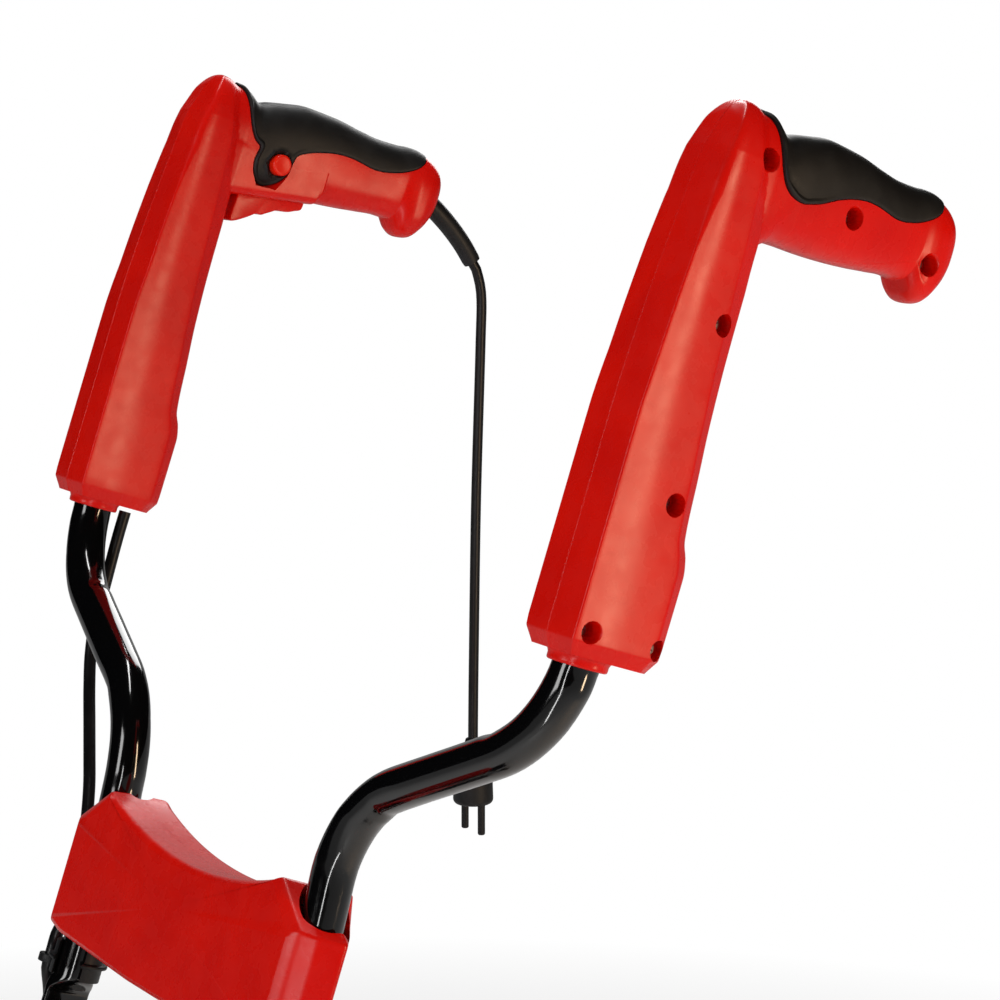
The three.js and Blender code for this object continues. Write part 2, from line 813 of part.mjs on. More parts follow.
// A pressed flat end around a bolt hole: rings from the round tube to the rounded tip, towards -Z
function flatRings(x, shift, towards) {
  const [thickShare, wideShare] = [0.72, 1.09];
  const [roundSquareness, middleSquareness, flatSquareness] = [2, 2.4, 6];
  const tipShares = [0.5, 0.8, 0.97];
  const flatRow = (up, halfY) => [up, flatThick / 2, halfY, shift, flatSquareness];
  const rows = [
    [flatReach + flatTaper, tubeRadius, tubeRadius, 0, roundSquareness],
    [flatReach + flatTaper / 2, tubeRadius * thickShare, tubeRadius * wideShare, shift / 2, middleSquareness],
    flatRow(flatReach, flatHalf),
    flatRow(0, flatHalf),
    ...tipShares.map((share) => flatRow(-flatHalf * share, flatHalf * Math.sqrt(1 - share ** 2))),
  ];
  return rows.map(([up, halfX, halfY, moved, squareness]) =>
    Array.from({ length: tubeSides }, (_, k) => {
      const angle = (2 * Math.PI * (k + 0.5)) / tubeSides;
      const [a, b] = ovalPoint(angle, halfX, halfY, squareness);
      return new THREE.Vector3(x + moved + a, b, towards * up);
    }));
}

// A bent tube: round rings along its run, then the flat end; the bore stops where the flat begins
function bentTube(run, x, shift, towards) {
  const ringAt = (radius, points, sides) => points.map((point, i) => {
    const before = points[Math.max(0, i - 1)];
    const after = points[Math.min(points.length - 1, i + 1)];
    const along = after.clone().sub(before).normalize();
    const across = new THREE.Vector3(0, 1, 0).cross(along).multiplyScalar(-towards);
    return Array.from({ length: sides }, (_, k) => {
      const angle = (2 * Math.PI * (k + 0.5)) / sides;
      return point.clone().addScaledVector(across, radius * Math.cos(angle))
        .add(new THREE.Vector3(0, radius * Math.sin(angle), 0));
    });
  });
  const flats = flatRings(x, shift, towards);
  const outer = loftSolid([...ringAt(tubeRadius, run, tubeSides).slice(0, -1), ...flats]);
  const boreRun = run.map((point) => point.clone());
  boreRun[0].add(boreRun[0].clone().sub(boreRun[1]).normalize().multiplyScalar(overrun));
  const bore = loftSolid(ringAt(tubeRadius - tubeWall, boreRun, boreSides));
  const hole = crossBar(around(boltRadius, holeSides), x - flatHalf, x + flatHalf, 0, 0);
  return cut(outer, bore, hole);
}

const flatShift = (flatThick + gap) / 2;

function upperTube() {
  const corner = (x, up) => new THREE.Vector3(x, 0, up);
  const run = roundedRun([
    corner(handleSpacing / 2, armAbovePivot + tubeInArm),
    corner(handleSpacing / 2, armAbovePivot - bendDrop),
    corner(upperInner, armAbovePivot - bendDrop - slopeDrop),
    corner(upperInner, flatReach + flatTaper + gap),
  ], bendRadius, bendSteps);
  return bentTube(run, upperInner, flatShift, 1);
}

function lowerTube() {
  const corner = (x, down) => new THREE.Vector3(x, 0, -down);
  const run = roundedRun([
    corner(lowerInner, lowerLength),
    corner(lowerInner, lowerBendEnd),
    corner(upperInner, lowerBendStart),
    corner(upperInner, flatReach + flatTaper + gap),
  ], bendRadius, bendSteps);
  return bentTube(run, upperInner, -flatShift, -1);
}

// Bridge cover: an outline with a sagging top edge, drawn out towards its ends at mid depth
const bridgeRowShares = [
  [-1, 0, 1.2],
  [-0.945, 0, 0],
  [-0.5, 0.55, 0],
  [-0.1, 0.98, 0],
  [0.3, 1, 0],
  [0.72, 0.62, 0],
  [0.95, 0.05, 0],
  [1, 0, 1.2],
];
function bridgeRing([backShare, drawnShare, chamfer], inset) {
  const half = bridgeFaceHalf + (bridgeEndHalf - bridgeFaceHalf) * drawnShare - inset - chamfer;
  const topHalf = bridgeTopHalf + ((bridgeEndHalf - bridgeFaceHalf) / 2) * drawnShare - inset / 2 - chamfer / 2;
  const top = bridgeTop - inset - chamfer;
  const bottom = bridgeBottom + inset + chamfer;
  const reach = backShare < 0 ? bridgeFront - inset : bridgeBack - inset;
  const sagRadius = (topHalf ** 2 + bridgeSag ** 2) / (2 * bridgeSag);
  const arc = Array.from({ length: sagSteps + 1 }, (_, i) => {
    const x = topHalf * (1 - (2 * i) / sagSteps);
    return [x, top - bridgeSag + sagRadius - Math.sqrt(sagRadius ** 2 - x ** 2)];
  });
  const side = [[half, top - bridgeShoulder], [half, bottom + bridgeBottomCut / 2],
    [half - bridgeBottomCut, bottom + bridgeBottomCut / 4], [bridgeTopHalf / 4, bottom]];
  const outline = [...arc, ...side.map(([x, z]) => [-x, z]), ...side.reverse()];
  return outline.map(([x, z]) => new THREE.Vector3(x, reach * backShare, z));
}

function bridgeHalves() {
  const outer = loftSolid(bridgeRowShares.map((row) => bridgeRing(row, 0)));
  let hollow = loftSolid(bridgeRowShares.map((row) => bridgeRing(row, bridgeWall)));
  for (const hand of [-1, 1]) {
    const inside = Math.min(hand * bridgeTopHalf, hand * bridgeEndHalf);
    const outside = Math.max(hand * bridgeTopHalf, hand * bridgeEndHalf);
    const shelf = box(inside, outside, -bridgeEndHalf, bridgeEndHalf, bridgeShelfUp, bridgeShelfUp + bridgeWall);
    hollow = hollow.subtract(shelf);
  }
  let body = outer.subtract(hollow);
  for (const hand of [-1, 1]) {
    const mouthStart = bridgeTop - 2 * bridgeShoulder;
    const through = post(around(tubeRadius), 0, 2 * bridgeTop);
    const mouth = post(tubeRadius + bridgeMouth, mouthStart, 2 * bridgeTop);
    body = cut(body, through.translate(hand * upperInner, 0, 0), mouth.translate(hand * upperInner, 0, 0));
  }
  const wide = 2 * bridgeEndHalf;
  const front = largest(body.intersect(box(-wide, wide, -wide, -gap / 2, -wide, wide)));
  const back = largest(body.intersect(box(-wide, wide, gap / 2, wide, -wide, wide)));
  return { front, back };
}

// Star knob around X, its seat at x = 0, growing towards +X
function starKnob(stemRadius = boltRadius) {
  const count = knobLobes * 4;
  const outline = Array.from({ length: count }, (_, i) => {
    const angle = (2 * Math.PI * i) / count;
    const radius = knobRadius - knobLobe + knobLobe * Math.cos(knobLobes * angle);
    return [radius * Math.cos(angle), radius * Math.sin(angle)];
  });
  const seat = knobHeight * knobSeatShare;
  const head = sidePrism(outline, seat, knobHeight, knobLobe / 2);
  const neck = crossBar(knobRadius / 2, 0, seat + knobLobe, 0, 0, roundSides);
  const bore = crossBar(around(stemRadius, holeSides), -overrun, knobHeight * knobBoreShare, 0, 0);
  return head.add(neck).subtract(bore);
}

// Bolt along X: head from x = 0 outwards to -X, shank towards +X
function knobBolt(grip) {
  const shank = grip + knobHeight * knobShankShare;
  const head = crossBar(boltHeadRadius, -boltHeadHeight, 0, 0, 0, roundSides);
  return head.add(crossBar(boltRadius, -boltHeadHeight / 2, shank, 0, 0));
}

// Snap clip around a tube on Z, with a lobe for the lead; the tube is at the origin
function cableClip(leadX, leadY) {
  const outer = around(tubeRadius) + clipWall;
  const half = clipHeight / 2;
  const lobeOuter = leadRadius + gap + clipWall;
  const band = post(outer, -half, half);
  const rib = post(outer + clipWall, -clipWall / 3, clipWall / 3);
  const lobe = post(lobeOuter, overrun - half, -clipWall, holeSides).translate(leadX, leadY, 0);
  const bore = (radius, sides) => post(radius, -clipHeight, clipHeight, sides);
  const mouth = box(-clipMouth / 2, clipMouth / 2, -2 * outer, 0, -clipHeight, clipHeight);
  return cut(join(band, rib, lobe), bore(around(tubeRadius), roundSides), mouth,
    bore(around(leadRadius, holeSides), holeSides).translate(leadX, leadY, 0));
}

// A round tube along a route, straight and square at its ends
function cordTube(points, radius, steps) {
  const curve = new THREE.CatmullRomCurve3(points, false, 'centripetal');
  const sides = 8;
  const ring = new THREE.Shape(Array.from({ length: sides }, (_, k) => {
    const angle = (2 * Math.PI * (k + 0.5)) / sides;
    return new THREE.Vector2(radius * Math.cos(angle), radius * Math.sin(angle));
  }));
  return fixFacing(indexed(new THREE.ExtrudeGeometry(ring, { steps, extrudePath: curve, bevelEnabled: false })));
}

function indexed(geometry) {
  geometry.deleteAttribute('normal');
  geometry.deleteAttribute('uv');
  return mergeVertices(geometry, weldGap);
}

// Yoke
const frameDown = new THREE.Vector2(-Math.sin(frameLean), -Math.cos(frameLean));
const onFrame = (down, forward) => [
  pivotBack + down * frameDown.x + forward * frameDown.y,
  pivotUp + down * frameDown.y - forward * frameDown.x,
];

function yoke() {
  const top = yokePlateUp + sheet;
  const plate = box(-yokeHalf, yokeHalf, -yokeFront, yokePlateBack, yokePlateUp, top);
  const edge = tubeRadius + sheet;
  const low = onFrame(lowerLength, edge);
  const outline = [
    [-yokeFront, yokePlateUp],
    [-yokeFront, top + edge],
    low,
    onFrame(lowerLength - cheekReach, edge),
    onFrame(lowerLength - cheekReach - edge / 2, edge / 2),
    onFrame(lowerLength - cheekReach - edge / 2, -edge / 2),
    onFrame(lowerLength - cheekReach, -edge),
    [yokeBack, wheelPivotUp + edge],
    [yokeBack, wheelPivotUp - edge],
    [wheelPivotBack, yokePlateUp],
  ];
  const cheeks = [
    sidePrism(outline, yokeHalf - sheet, yokeHalf),
    sidePrism(outline, -yokeHalf, sheet - yokeHalf),
  ];
  const shaftHole = onMotor(post(neckHalf, 0, pivotUp));
  const wide = 2 * yokeHalf;
  const bolts = crossBar(around(pivotRadius, holeSides), -wide, wide, wheelPivotBack, wheelPivotUp);
  const slotX = yokeHalf * plateSlotShare;
  const slots = [-1, 1].map((hand) =>
    box(hand * slotX - slotWidth, hand * slotX + slotWidth, 0, yokePlateBack * plateSlotShare, 0, pivotUp));
  return cut(join(plate, ...cheeks), shaftHole, bolts, ...slots);
}

// Motor casing: oval rings around the motor's axis
function ovalRing(up, scale, inset) {
  const count = fineSides;
  return Array.from({ length: count }, (_, i) => {
    const angle = (2 * Math.PI * (i + 0.5)) / count;
    const [x, y] = ovalPoint(angle, motorHalfX * scale - inset, motorHalfY * scale - inset, motorSquareness);
    return new THREE.Vector3(x, motorBack + y, up);
  });
}

const baseLow = yokePlateUp + sheet + gap;
const baseHigh = baseLow + baseHeight;
const coverLow = baseHigh + gap;
const coverRowShares = [[0, 1], [0.6, 0.98], [0.82, 0.9], [0.94, 0.74], [1, 0.45]];
// Four fins that hold the stator between base and cover
function fins(inner, low, high) {
  const half = motorWall / 2;
  const reach = 2 * motorHalfX;
  const bars = [1, 3, 5, 7].map((k) => {
    const fin = box(inner, reach, -half, half, low, high);
    return fin.rotate([0, 0, (k * 180) / 4]).translate(0, motorBack, 0);
  });
  return join(...bars);
}

function motorBase() {
  const floor = motorWall + overrun;
  const [footShare, innerShare, edgeShare] = [0.94, 0.97, 0.98];
  const outer = loftSolid([
    ovalRing(baseLow, footShare, 0),
    ovalRing(baseLow + motorWall, edgeShare, 0),
    ovalRing(baseHigh, 1, 0),
  ]);
  const hollow = loftSolid([
    ovalRing(baseLow + floor, innerShare, motorWall),
    ovalRing(baseHigh + overrun, 1, motorWall),
  ]);
  const finLow = baseHigh - statorRadius / 3;
  const inside = loftSolid([ovalRing(baseLow, footShare, 0), ovalRing(baseHigh, edgeShare, 0)]);
  const holders = fins(statorRadius * finShare, finLow, baseHigh - gap).intersect(inside);
  const boss = barAlongY(glandRadius + motorWall, glandSeat - 2 * glandRadius, glandSeat, -glandSide, glandUp);
  const shell = outer.add(boss).subtract(hollow).add(holders);
  const hole = onMotor(post(neckHalf * glandBoreShare, 0, baseLow + 2 * floor));
  const glandHole = barAlongY(glandRadius * glandBoreShare, motorBack, glandSeat + overrun, -glandSide, glandUp);
  return cut(shell, hole, glandHole);
}

// A round bar along Y, through x, z
function barAlongY(radius, low, high, x, z, endRadius = radius) {
  const geometry = new THREE.CylinderGeometry(endRadius, radius, high - low, roundSides);
  geometry.translate(x, (low + high) / 2, z);
  return toSolid(geometry);
}

function cableGland() {
  const flange = glandRadius / 2;
  const low = glandSeat + gap;
  const neck = barAlongY(glandRadius * glandBoreShare - gap, low - flange, low + overrun, -glandSide, glandUp);
  const plate = barAlongY(glandRadius + sheet, low, low + flange, -glandSide, glandUp);
  const nose = barAlongY(glandRadius, low + flange - gap, low + flange + glandNose, -glandSide, glandUp,
    leadRadius + clipWall);
  const bore = barAlongY(leadRadius + gap, low - 2 * flange, low + 2 * glandNose, -glandSide, glandUp);
  return cut(join(neck, plate, nose), bore);
}

function motorCover() {
  const at = (share) => coverLow + coverHeight * share;
  const outer = loftSolid(coverRowShares.map(([upShare, scale]) => ovalRing(at(upShare), scale, 0)));
  const innerRows = coverRowShares.filter((_, i) => i % 2 === 0).map(([upShare, scale]) =>
    ovalRing(coverLow - overrun + (coverHeight + overrun - motorWall) * upShare, scale, motorWall));
  const hollow = loftSolid(innerRows);
  const edgeShare = 0.99;
  const inside = loftSolid([ovalRing(coverLow, edgeShare, 0), ovalRing(coverLow + statorHeight, edgeShare, 0)]);
  const holders = fins(statorRadius + gap, coverLow, coverLow + statorHeight).intersect(inside);
  const boss = onMotor(post(motorBearingRadius + motorWall, topBearingLow - gap, at(1) - motorWall / 2));
  const seat = onMotor(post(motorBearingRadius + gap, 0, topBearingLow + bearingHeight + gap));
  const body = cut(outer.subtract(hollow).add(holders).add(boss), seat);
  const first = coverLow + 4 * motorWall;
  const slots = [];
  for (let i = 0; i < slotCount; i += 1) {
    const y = motorBack + (i - (slotCount - 1) / 2) * slotPitch;
    for (const hand of [-1, 1]) {
      const inner = hand * (motorHalfX - 4 * motorWall);
      const outside = hand * (motorHalfX + overrun);
      slots.push(box(Math.min(inner, outside), Math.max(inner, outside), y - slotWidth / 2, y + slotWidth / 2,
        first, first + slotHeight));
    }
  }
  return cut(body, ...slots);
}

const fanLow = baseLow + 3 * motorWall;
const rotorLow = coverLow + motorWall / 2;
const rotorHeight = statorHeight - motorWall;
const commutatorLow = rotorLow + rotorHeight + motorWall;
const topBearingLow = commutatorLow + commutatorHeight + 2 * motorWall;
const shaftCentreUp = tineRadius;
const wormLow = shaftCentreUp - wormLength / 2;
const endBearingLow = wormLow - bearingHeight - gap;
const onMotor = (solid) => solid.translate(0, motorBack, 0);
const post = (radius, low, high, sides = roundSides) =>
  revolve([[0, low], [radius, low], [radius, high], [0, high]], sides);
const ringPost = (inner, outer, low, high, sides = roundSides) =>
  revolve([[inner, low], [outer, low], [outer, high], [inner, high]], sides);

function stator() {
  const shape = new THREE.Shape(circle(statorRadius, fineSides).map(([x, y]) => new THREE.Vector2(x, y)));
  const poleHalf = statorRadius * poleShare;
  shape.holes.push(new THREE.Path(circle(statorBore, fineSides).map(([x, y]) => new THREE.Vector2(x, y))));
  const ring = standPrism(shape, coverLow, coverLow + statorHeight);
  const [nearShare, farShare] = windowShares;
  const windows = [-1, 1].map((hand) => {
    const near = hand * statorBore * nearShare;
    const far = hand * statorRadius * farShare;
    return box(-poleHalf, poleHalf, Math.min(near, far), Math.max(near, far),
      coverLow - overrun, coverLow + statorHeight + overrun);
  });
  return onMotor(cut(ring, ...windows));
}

function rotorCore() {
  const outline = [];
  const outer = statorBore - 2 * gap;
  for (let i = 0; i < rotorSlots; i += 1) {
    const angle = (2 * Math.PI * i) / rotorSlots;
    const halfTooth = (Math.PI / rotorSlots) * (1 - rotorToothShare / 2);
    const inSlot = (Math.PI / rotorSlots) * (1 + rotorToothShare / 2);
    outline.push(new THREE.Vector2(outer * Math.cos(angle - halfTooth), outer * Math.sin(angle - halfTooth)));
    outline.push(new THREE.Vector2(outer * Math.cos(angle + halfTooth), outer * Math.sin(angle + halfTooth)));
    const slotMiddle = angle + (halfTooth + inSlot) / 2;
    const depth = outer * rotorSlotShare;
    outline.push(new THREE.Vector2(depth * Math.cos(slotMiddle), depth * Math.sin(slotMiddle)));
  }
  return onMotor(standPrism(new THREE.Shape(outline), rotorLow, rotorLow + rotorHeight)
    .subtract(post(around(rotorShaftRadius), 0, pivotUp)));
}

// The worm's thread: a ridge swept along a right-hand helix, joined to the shaft
function motorShaft() {
  const lead = Math.PI * gearModule;
  const stepsPerTurn = 9;
  const turns = (wormLength - lead) / lead;
  const rootRadius = wormPitchRadius - gearModule * threadRootShare;
  const tipRadius = wormPitchRadius + gearModule * threadTipShare;
  const pitchHalf = lead / 4 - backlash / 2;
  const rootHalf = pitchHalf + flankSlope * gearModule;
  const tipHalf = pitchHalf - flankSlope * gearModule * threadTipShare;
  const rings = [];
  const steps = Math.round(turns * stepsPerTurn);
  const middleUp = shaftCentreUp + lead / 2;
  for (let i = 0; i <= steps; i += 1) {
    const turn = i / stepsPerTurn - turns / 2;
    const angle = 2 * Math.PI * turn - Math.PI / 2;
    const up = middleUp + lead * turn;
    const [c, s] = [Math.cos(angle), Math.sin(angle)];
    const at = (radius, rise) => new THREE.Vector3(radius * c, radius * s, up + rise);
    const inner = rootRadius - gap;
    rings.push([at(inner, -rootHalf), at(tipRadius, -tipHalf), at(tipRadius, tipHalf), at(inner, rootHalf)]);
  }
  const thread = loftSolid(rings);
  const high = topBearingLow + bearingHeight;
  const core = revolve([
    [0, endBearingLow], [rotorShaftRadius, endBearingLow], [rotorShaftRadius, wormLow],
    [rootRadius, wormLow], [rootRadius, wormLow + wormLength],
    [rotorShaftRadius, wormLow + wormLength + gearModule], [rotorShaftRadius, high], [0, high],
  ], roundSides);
  return onMotor(core.add(thread));
}

// The worm wheel's teeth lean with the worm's thread
function wormWheel() {
  const pitchRadius = (gearModule * wheelTeeth) / 2;
  const pitchHalf = (Math.PI * gearModule) / 4 - backlash / 2;
  const outline = [];
  const low = -gearModule * toothRootShare;
  const high = gearModule * toothTipShare;
  for (let i = 0; i < wheelTeeth; i += 1) {
    const angle = (2 * Math.PI * i) / wheelTeeth;
    for (const [hand, above] of [[-1, low], [-1, high], [1, high], [1, low]]) {
      const radius = pitchRadius + above;
      const turned = angle + (hand * (pitchHalf - flankSlope * above)) / radius;
      outline.push(new THREE.Vector2(radius * Math.cos(turned), radius * Math.sin(turned)));
    }
  }
  const geometry = new THREE.ExtrudeGeometry(new THREE.Shape(outline), { depth: gearWidth, bevelEnabled: false });
  const position = geometry.attributes.position;
  const leadSlope = gearModule / (2 * wormPitchRadius);
  for (let i = 0; i < position.count; i += 1) {
    const across = position.getZ(i) - gearWidth / 2;
    const turn = (leadSlope * across) / pitchRadius;
    const [y, z] = [position.getX(i), position.getY(i)];
    const [c, s] = [Math.cos(turn), Math.sin(turn)];
    position.setXYZ(i, across, y * c - z * s, y * s + z * c);
  }
  const wheel = toSolid(geometry);
  return wheel.subtract(crossBar(around(shaftRadius), -gearWidth, gearWidth, 0, 0, roundSides))
    .translate(0, 0, shaftCentreUp);
}

function fan() {
  const disc = post(fanRadius, fanLow, fanLow + overrun);
  const hub = post(2 * rotorShaftRadius, fanLow, fanLow + fanHeight);
  const blades = Array.from({ length: fanBlades }, (_, i) =>
    box(rotorShaftRadius, fanRadius - overrun, -overrun / 2, overrun / 2, fanLow, fanLow + fanHeight)
      .rotate([0, 0, (360 * i) / fanBlades]));
  return onMotor(join(disc, hub, ...blades).subtract(post(around(rotorShaftRadius), 0, pivotUp)));
}

// Gearbox: a round wheel chamber and a neck up to the yoke, split on the machine's middle plane
const chamberRadius = (gearModule * wheelTeeth) / 2 + 2 * gearModule;
const flangeHalf = gearboxHalf + flangeOver;

function gearboxHalves() {
  const outerRadius = chamberRadius + gearboxWall;
  const neckBottom = endBearingLow - gearboxWall - gap;
  const flangeTop = yokePlateUp - gap;
  const flangeLow = flangeTop - 2 * gearboxWall + overrun;
  const neck = sidePrism([
    [motorBack - neckHalf, neckBottom + gearboxWall], [motorBack - neckHalf + gearboxWall, neckBottom],
    [motorBack + neckHalf - gearboxWall, neckBottom], [motorBack + neckHalf, neckBottom + gearboxWall],
    [motorBack + neckHalf, flangeTop], [motorBack - neckHalf, flangeTop],
  ], -gearboxHalf, gearboxHalf, gap);
  const fillet = sidePrism([
    [0, shaftCentreUp + outerRadius], [motorBack - neckHalf + overrun, shaftCentreUp + outerRadius + neckHalf],
    [motorBack, shaftCentreUp], [motorBack, neckBottom + gearboxWall], [0, shaftCentreUp - outerRadius],
  ], overrun - gearboxHalf, gearboxHalf - overrun);
  const flangeDeep = 2 * neckHalf;
  const flange = box(-flangeHalf, flangeHalf, motorBack - flangeDeep, motorBack + flangeDeep, flangeLow, flangeTop);
  const drum = crossBar(outerRadius, -gearboxHalf, gearboxHalf, 0, shaftCentreUp, fineSides);
  const chamberHalf = (gearWidth + overrun) / 2;
  const rooms = [
    crossBar(chamberRadius, -chamberHalf, chamberHalf, 0, shaftCentreUp, roundSides),
    crossBar(shaftBearingRadius + gap, -gearboxHalf + sheet, gearboxHalf - sheet, 0, shaftCentreUp, roundSides),
    crossBar(shaftRadius + 2 * gap, -2 * gearboxHalf, 2 * gearboxHalf, 0, shaftCentreUp, roundSides),
    onMotor(post(wormPitchRadius + 2 * gearModule, endBearingLow - gap, wormLow + wormLength + gearModule)),
    onMotor(post(rotorShaftRadius + overrun, endBearingLow, pivotUp)),
  ];
  const body = cut(join(drum, neck, fillet, flange), ...rooms);
  const wide = 4 * gearboxHalf;
  const left = largest(body.intersect(box(gap / 2, wide, -wide * 2, wide * 2, -wide, pivotUp)));
  const right = largest(body.intersect(box(-wide, -gap / 2, -wide * 2, wide * 2, -wide, pivotUp)));
  return { left, right };
}

// Tine star: a hub tube and hooked blades whose tips bend aside in turn
const bladeShares = [
  [0.2, -0.5], [0.34, -0.27], [0.55, -0.13], [0.8, -0.05], [1, -0.06],
  [1, 0.06], [0.8, 0.14], [0.55, 0.17], [0.34, 0.26],
];

function tineStar(x, phase, hand) {
  const outline = [];
  const tipHalf = bladeShares.find(([outShare, turn]) => outShare === 1 && turn > 0)[1];
  for (let k = 0; k < starBlades; k += 1) {
    const middle = (2 * Math.PI * k) / starBlades - Math.PI / 2 - hookTurn + phase;
    for (const [outShare, turn] of bladeShares) {
      const radius = outShare === 1 ? tineRadius / Math.cos(tipHalf) : tineRadius * outShare;
      const angle = middle + turn + hookTurn * outShare ** 2;
      outline.push(new THREE.Vector2(radius * Math.cos(angle), radius * Math.sin(angle)));
    }
  }
  const geometry = new THREE.ExtrudeGeometry(new THREE.Shape(outline), { depth: starPlate, bevelEnabled: false });
  const position = geometry.attributes.position;
  for (let i = 0; i < position.count; i += 1) {
    const [y, z, across] = [position.getX(i), position.getY(i), position.getZ(i) - starPlate / 2];
    const radius = Math.hypot(y, z);
    const blade = Math.round((Math.atan2(z, y) - phase + Math.PI / 2) / (Math.PI / 2));
    const side = blade % 2 === 0 ? 1 : -1;
    const outShare = Math.max(0, radius / tineRadius - 0.5) * 2;
    position.setXYZ(i, across + side * hand * bladeBend * outShare ** 2, y, z);
  }
  const hub = crossBar(hubRadius, (gap - starPitch) / 2, (starPitch - gap) / 2, 0, 0, roundSides);
  return cut(toSolid(geometry).add(hub), crossBar(around(shaftRadius), -starPitch, starPitch, 0, 0, roundSides))
    .translate(x, 0, shaftCentreUp);
}

// Guard: a curved sheet over the stars, with end skirts and two seats under the yoke
const guardInner = tineRadius + guardClearance;

function sector(inner, outer, low, high, from = guardFrom, to = guardTo) {
  const arc = (radius) => Array.from({ length: guardSteps + 1 }, (_, i) => {
    const angle = from + ((to - from) * i) / guardSteps;
    return [radius * Math.cos(angle), shaftCentreUp + radius * Math.sin(angle)];
  });
  return sidePrism([...arc(outer), ...arc(inner).reverse()], low, high);
}

function tineGuard() {
  const outer = guardInner + sheet - gap;
  const skin = sector(guardInner, outer, -guardHalf, guardHalf);
  const skirts = [
    sector(outer - guardSkirt, outer, guardHalf - sheet, guardHalf),
    sector(outer - guardSkirt, outer, -guardHalf, sheet - guardHalf),
  ];
  const ribHigh = outer + overrun;
  const ribs = [-1, 1].map((hand) => {
    const ribX = (hand * guardHalf) / 2;
    return sector(guardInner, ribHigh, ribX - sheet / 2, ribX + sheet / 2);
  });
  const seatNear = flangeHalf + sheet;
  const seats = [-1, 1].map((hand) => {
    const near = hand * seatNear;
    const far = hand * (yokeHalf - sheet);
    return box(Math.min(near, far), Math.max(near, far), sheet - yokeFront, 2 * neckHalf,
      shaftCentreUp + guardInner / 2, yokePlateUp - gap);
  });
  const drum = crossBar(guardInner, -guardHalf, guardHalf, 0, shaftCentreUp, 2 * roundSides);
  const opening = box(overrun / 2 - seatNear, seatNear - overrun / 2,
    motorBack - 2 * neckHalf - sheet, motorBack + 2 * neckHalf + sheet, shaftCentreUp, pivotUp);
  const bars = join(...seats).subtract(drum);
  return cut(join(skin, ...skirts, ...ribs, bars), opening);
}

// Wheel frame: two flat arms and a cross bar
const wheelCentreUp = wheelRadius * Math.cos(Math.PI / wheelSides);
const armOuterX = yokeHalf - sheet - gap;

function wheelFrame() {
  const armRun = new THREE.Vector2(axleBack - wheelPivotBack, wheelCentreUp - wheelPivotUp);
  const angle = Math.atan2(armRun.y, armRun.x);
  const steps = 8;
  const end = (y, z, from) => Array.from({ length: steps + 1 }, (_, i) => {
    const turn = from + (Math.PI * i) / steps;
    return [y + wheelArmHalf * Math.cos(turn), z + wheelArmHalf * Math.sin(turn)];
  });
  const outline = [
    ...end(wheelPivotBack, wheelPivotUp, angle + Math.PI / 2),
    ...end(axleBack, wheelCentreUp, angle - Math.PI / 2),
  ];
  const arms = [
    sidePrism(outline, armOuterX - wheelArmThick, armOuterX),
    sidePrism(outline, -armOuterX, wheelArmThick - armOuterX),
  ];
  const middle = [(wheelPivotBack + axleBack) / 2, (wheelPivotUp + wheelCentreUp) / 2];
  const barHalf = armOuterX - wheelArmThick / 2;
  const bar = crossBar(crossBarRadius, -barHalf, barHalf, ...middle, roundSides);
  return cut(join(...arms, bar),
    crossBar(around(pivotRadius, holeSides), -yokeHalf, yokeHalf, wheelPivotBack, wheelPivotUp),
    crossBar(around(axleRadius), -yokeHalf, yokeHalf, axleBack, wheelCentreUp, roundSides));
}

// A wheel around X, its inner face at x = 0
const rimRadius = wheelRadius - tyreDepth;

// Turned by half a side, so that a wheel stands on a flat
function alongX(profile) {
  return revolve(profile, wheelSides).rotate([0, 90, 0]).rotate([180 / wheelSides, 0, 0]);
}

function wheelRim() {
  const mid = wheelWidth / 2;
  const hub = 2 * axleRadius + overrun / 2;
  const bed = rimRadius - gap;
  const profile = [
    [axleRadius + gap, -hubReach], [hub, -hubReach], [hub, mid - sheet], [bed - sheet, mid - sheet],
    [bed - sheet, sheet], [bed, sheet], [bed, wheelWidth - sheet], [bed - sheet, wheelWidth - sheet],
    [bed - sheet, mid + sheet], [hub, mid + sheet], [hub, wheelWidth], [axleRadius + gap, wheelWidth],
  ];
  let rim = alongX(profile);
  const windowRadius = (bed - sheet - hub) * windowShare;
  const windowAt = (bed - sheet + hub) / 2;
  for (let i = 0; i < wheelSpokes; i += 1) {
    const angle = (2 * Math.PI * i) / wheelSpokes;
    rim = rim.subtract(crossBar(windowRadius, -wheelWidth, 2 * wheelWidth,
      windowAt * Math.cos(angle), windowAt * Math.sin(angle)));
  }
  return rim;
}

function wheelTyre() {
  const shoulder = wheelRadius - tyreDepth / 3;
  const profile = [
    [rimRadius, 0], [shoulder, 0], ...treadShares.map((share) => [wheelRadius, wheelWidth * share]),
    [shoulder, wheelWidth], [rimRadius, wheelWidth],
  ];
  return alongX(profile);
}

// Assembly
const machine = new THREE.Group();
const handle = new THREE.Group();
handle.position.set(0, pivotBack, pivotUp);
handle.rotation.x = -handleLean;
const lowerFrame = new THREE.Group();
lowerFrame.position.set(0, pivotBack, pivotUp);
lowerFrame.rotation.x = -frameLean;
machine.add(handle, lowerFrame);

function armGroup(hand) {
  const group = new THREE.Group();
  group.position.set((hand * handleSpacing) / 2, 0, armAbovePivot);
  handle.add(group);
  return group;
}

const leftArm = armGroup(1);
const leftShells = armShells(false);
leftArm.add(
  mesh('left_arm_outer_shell', leftShells.outer, redPlastic),
  mesh('left_arm_inner_shell', leftShells.inner, redPlastic),
  mesh('left_grip_pad', gripPad(false), softBlack),
);

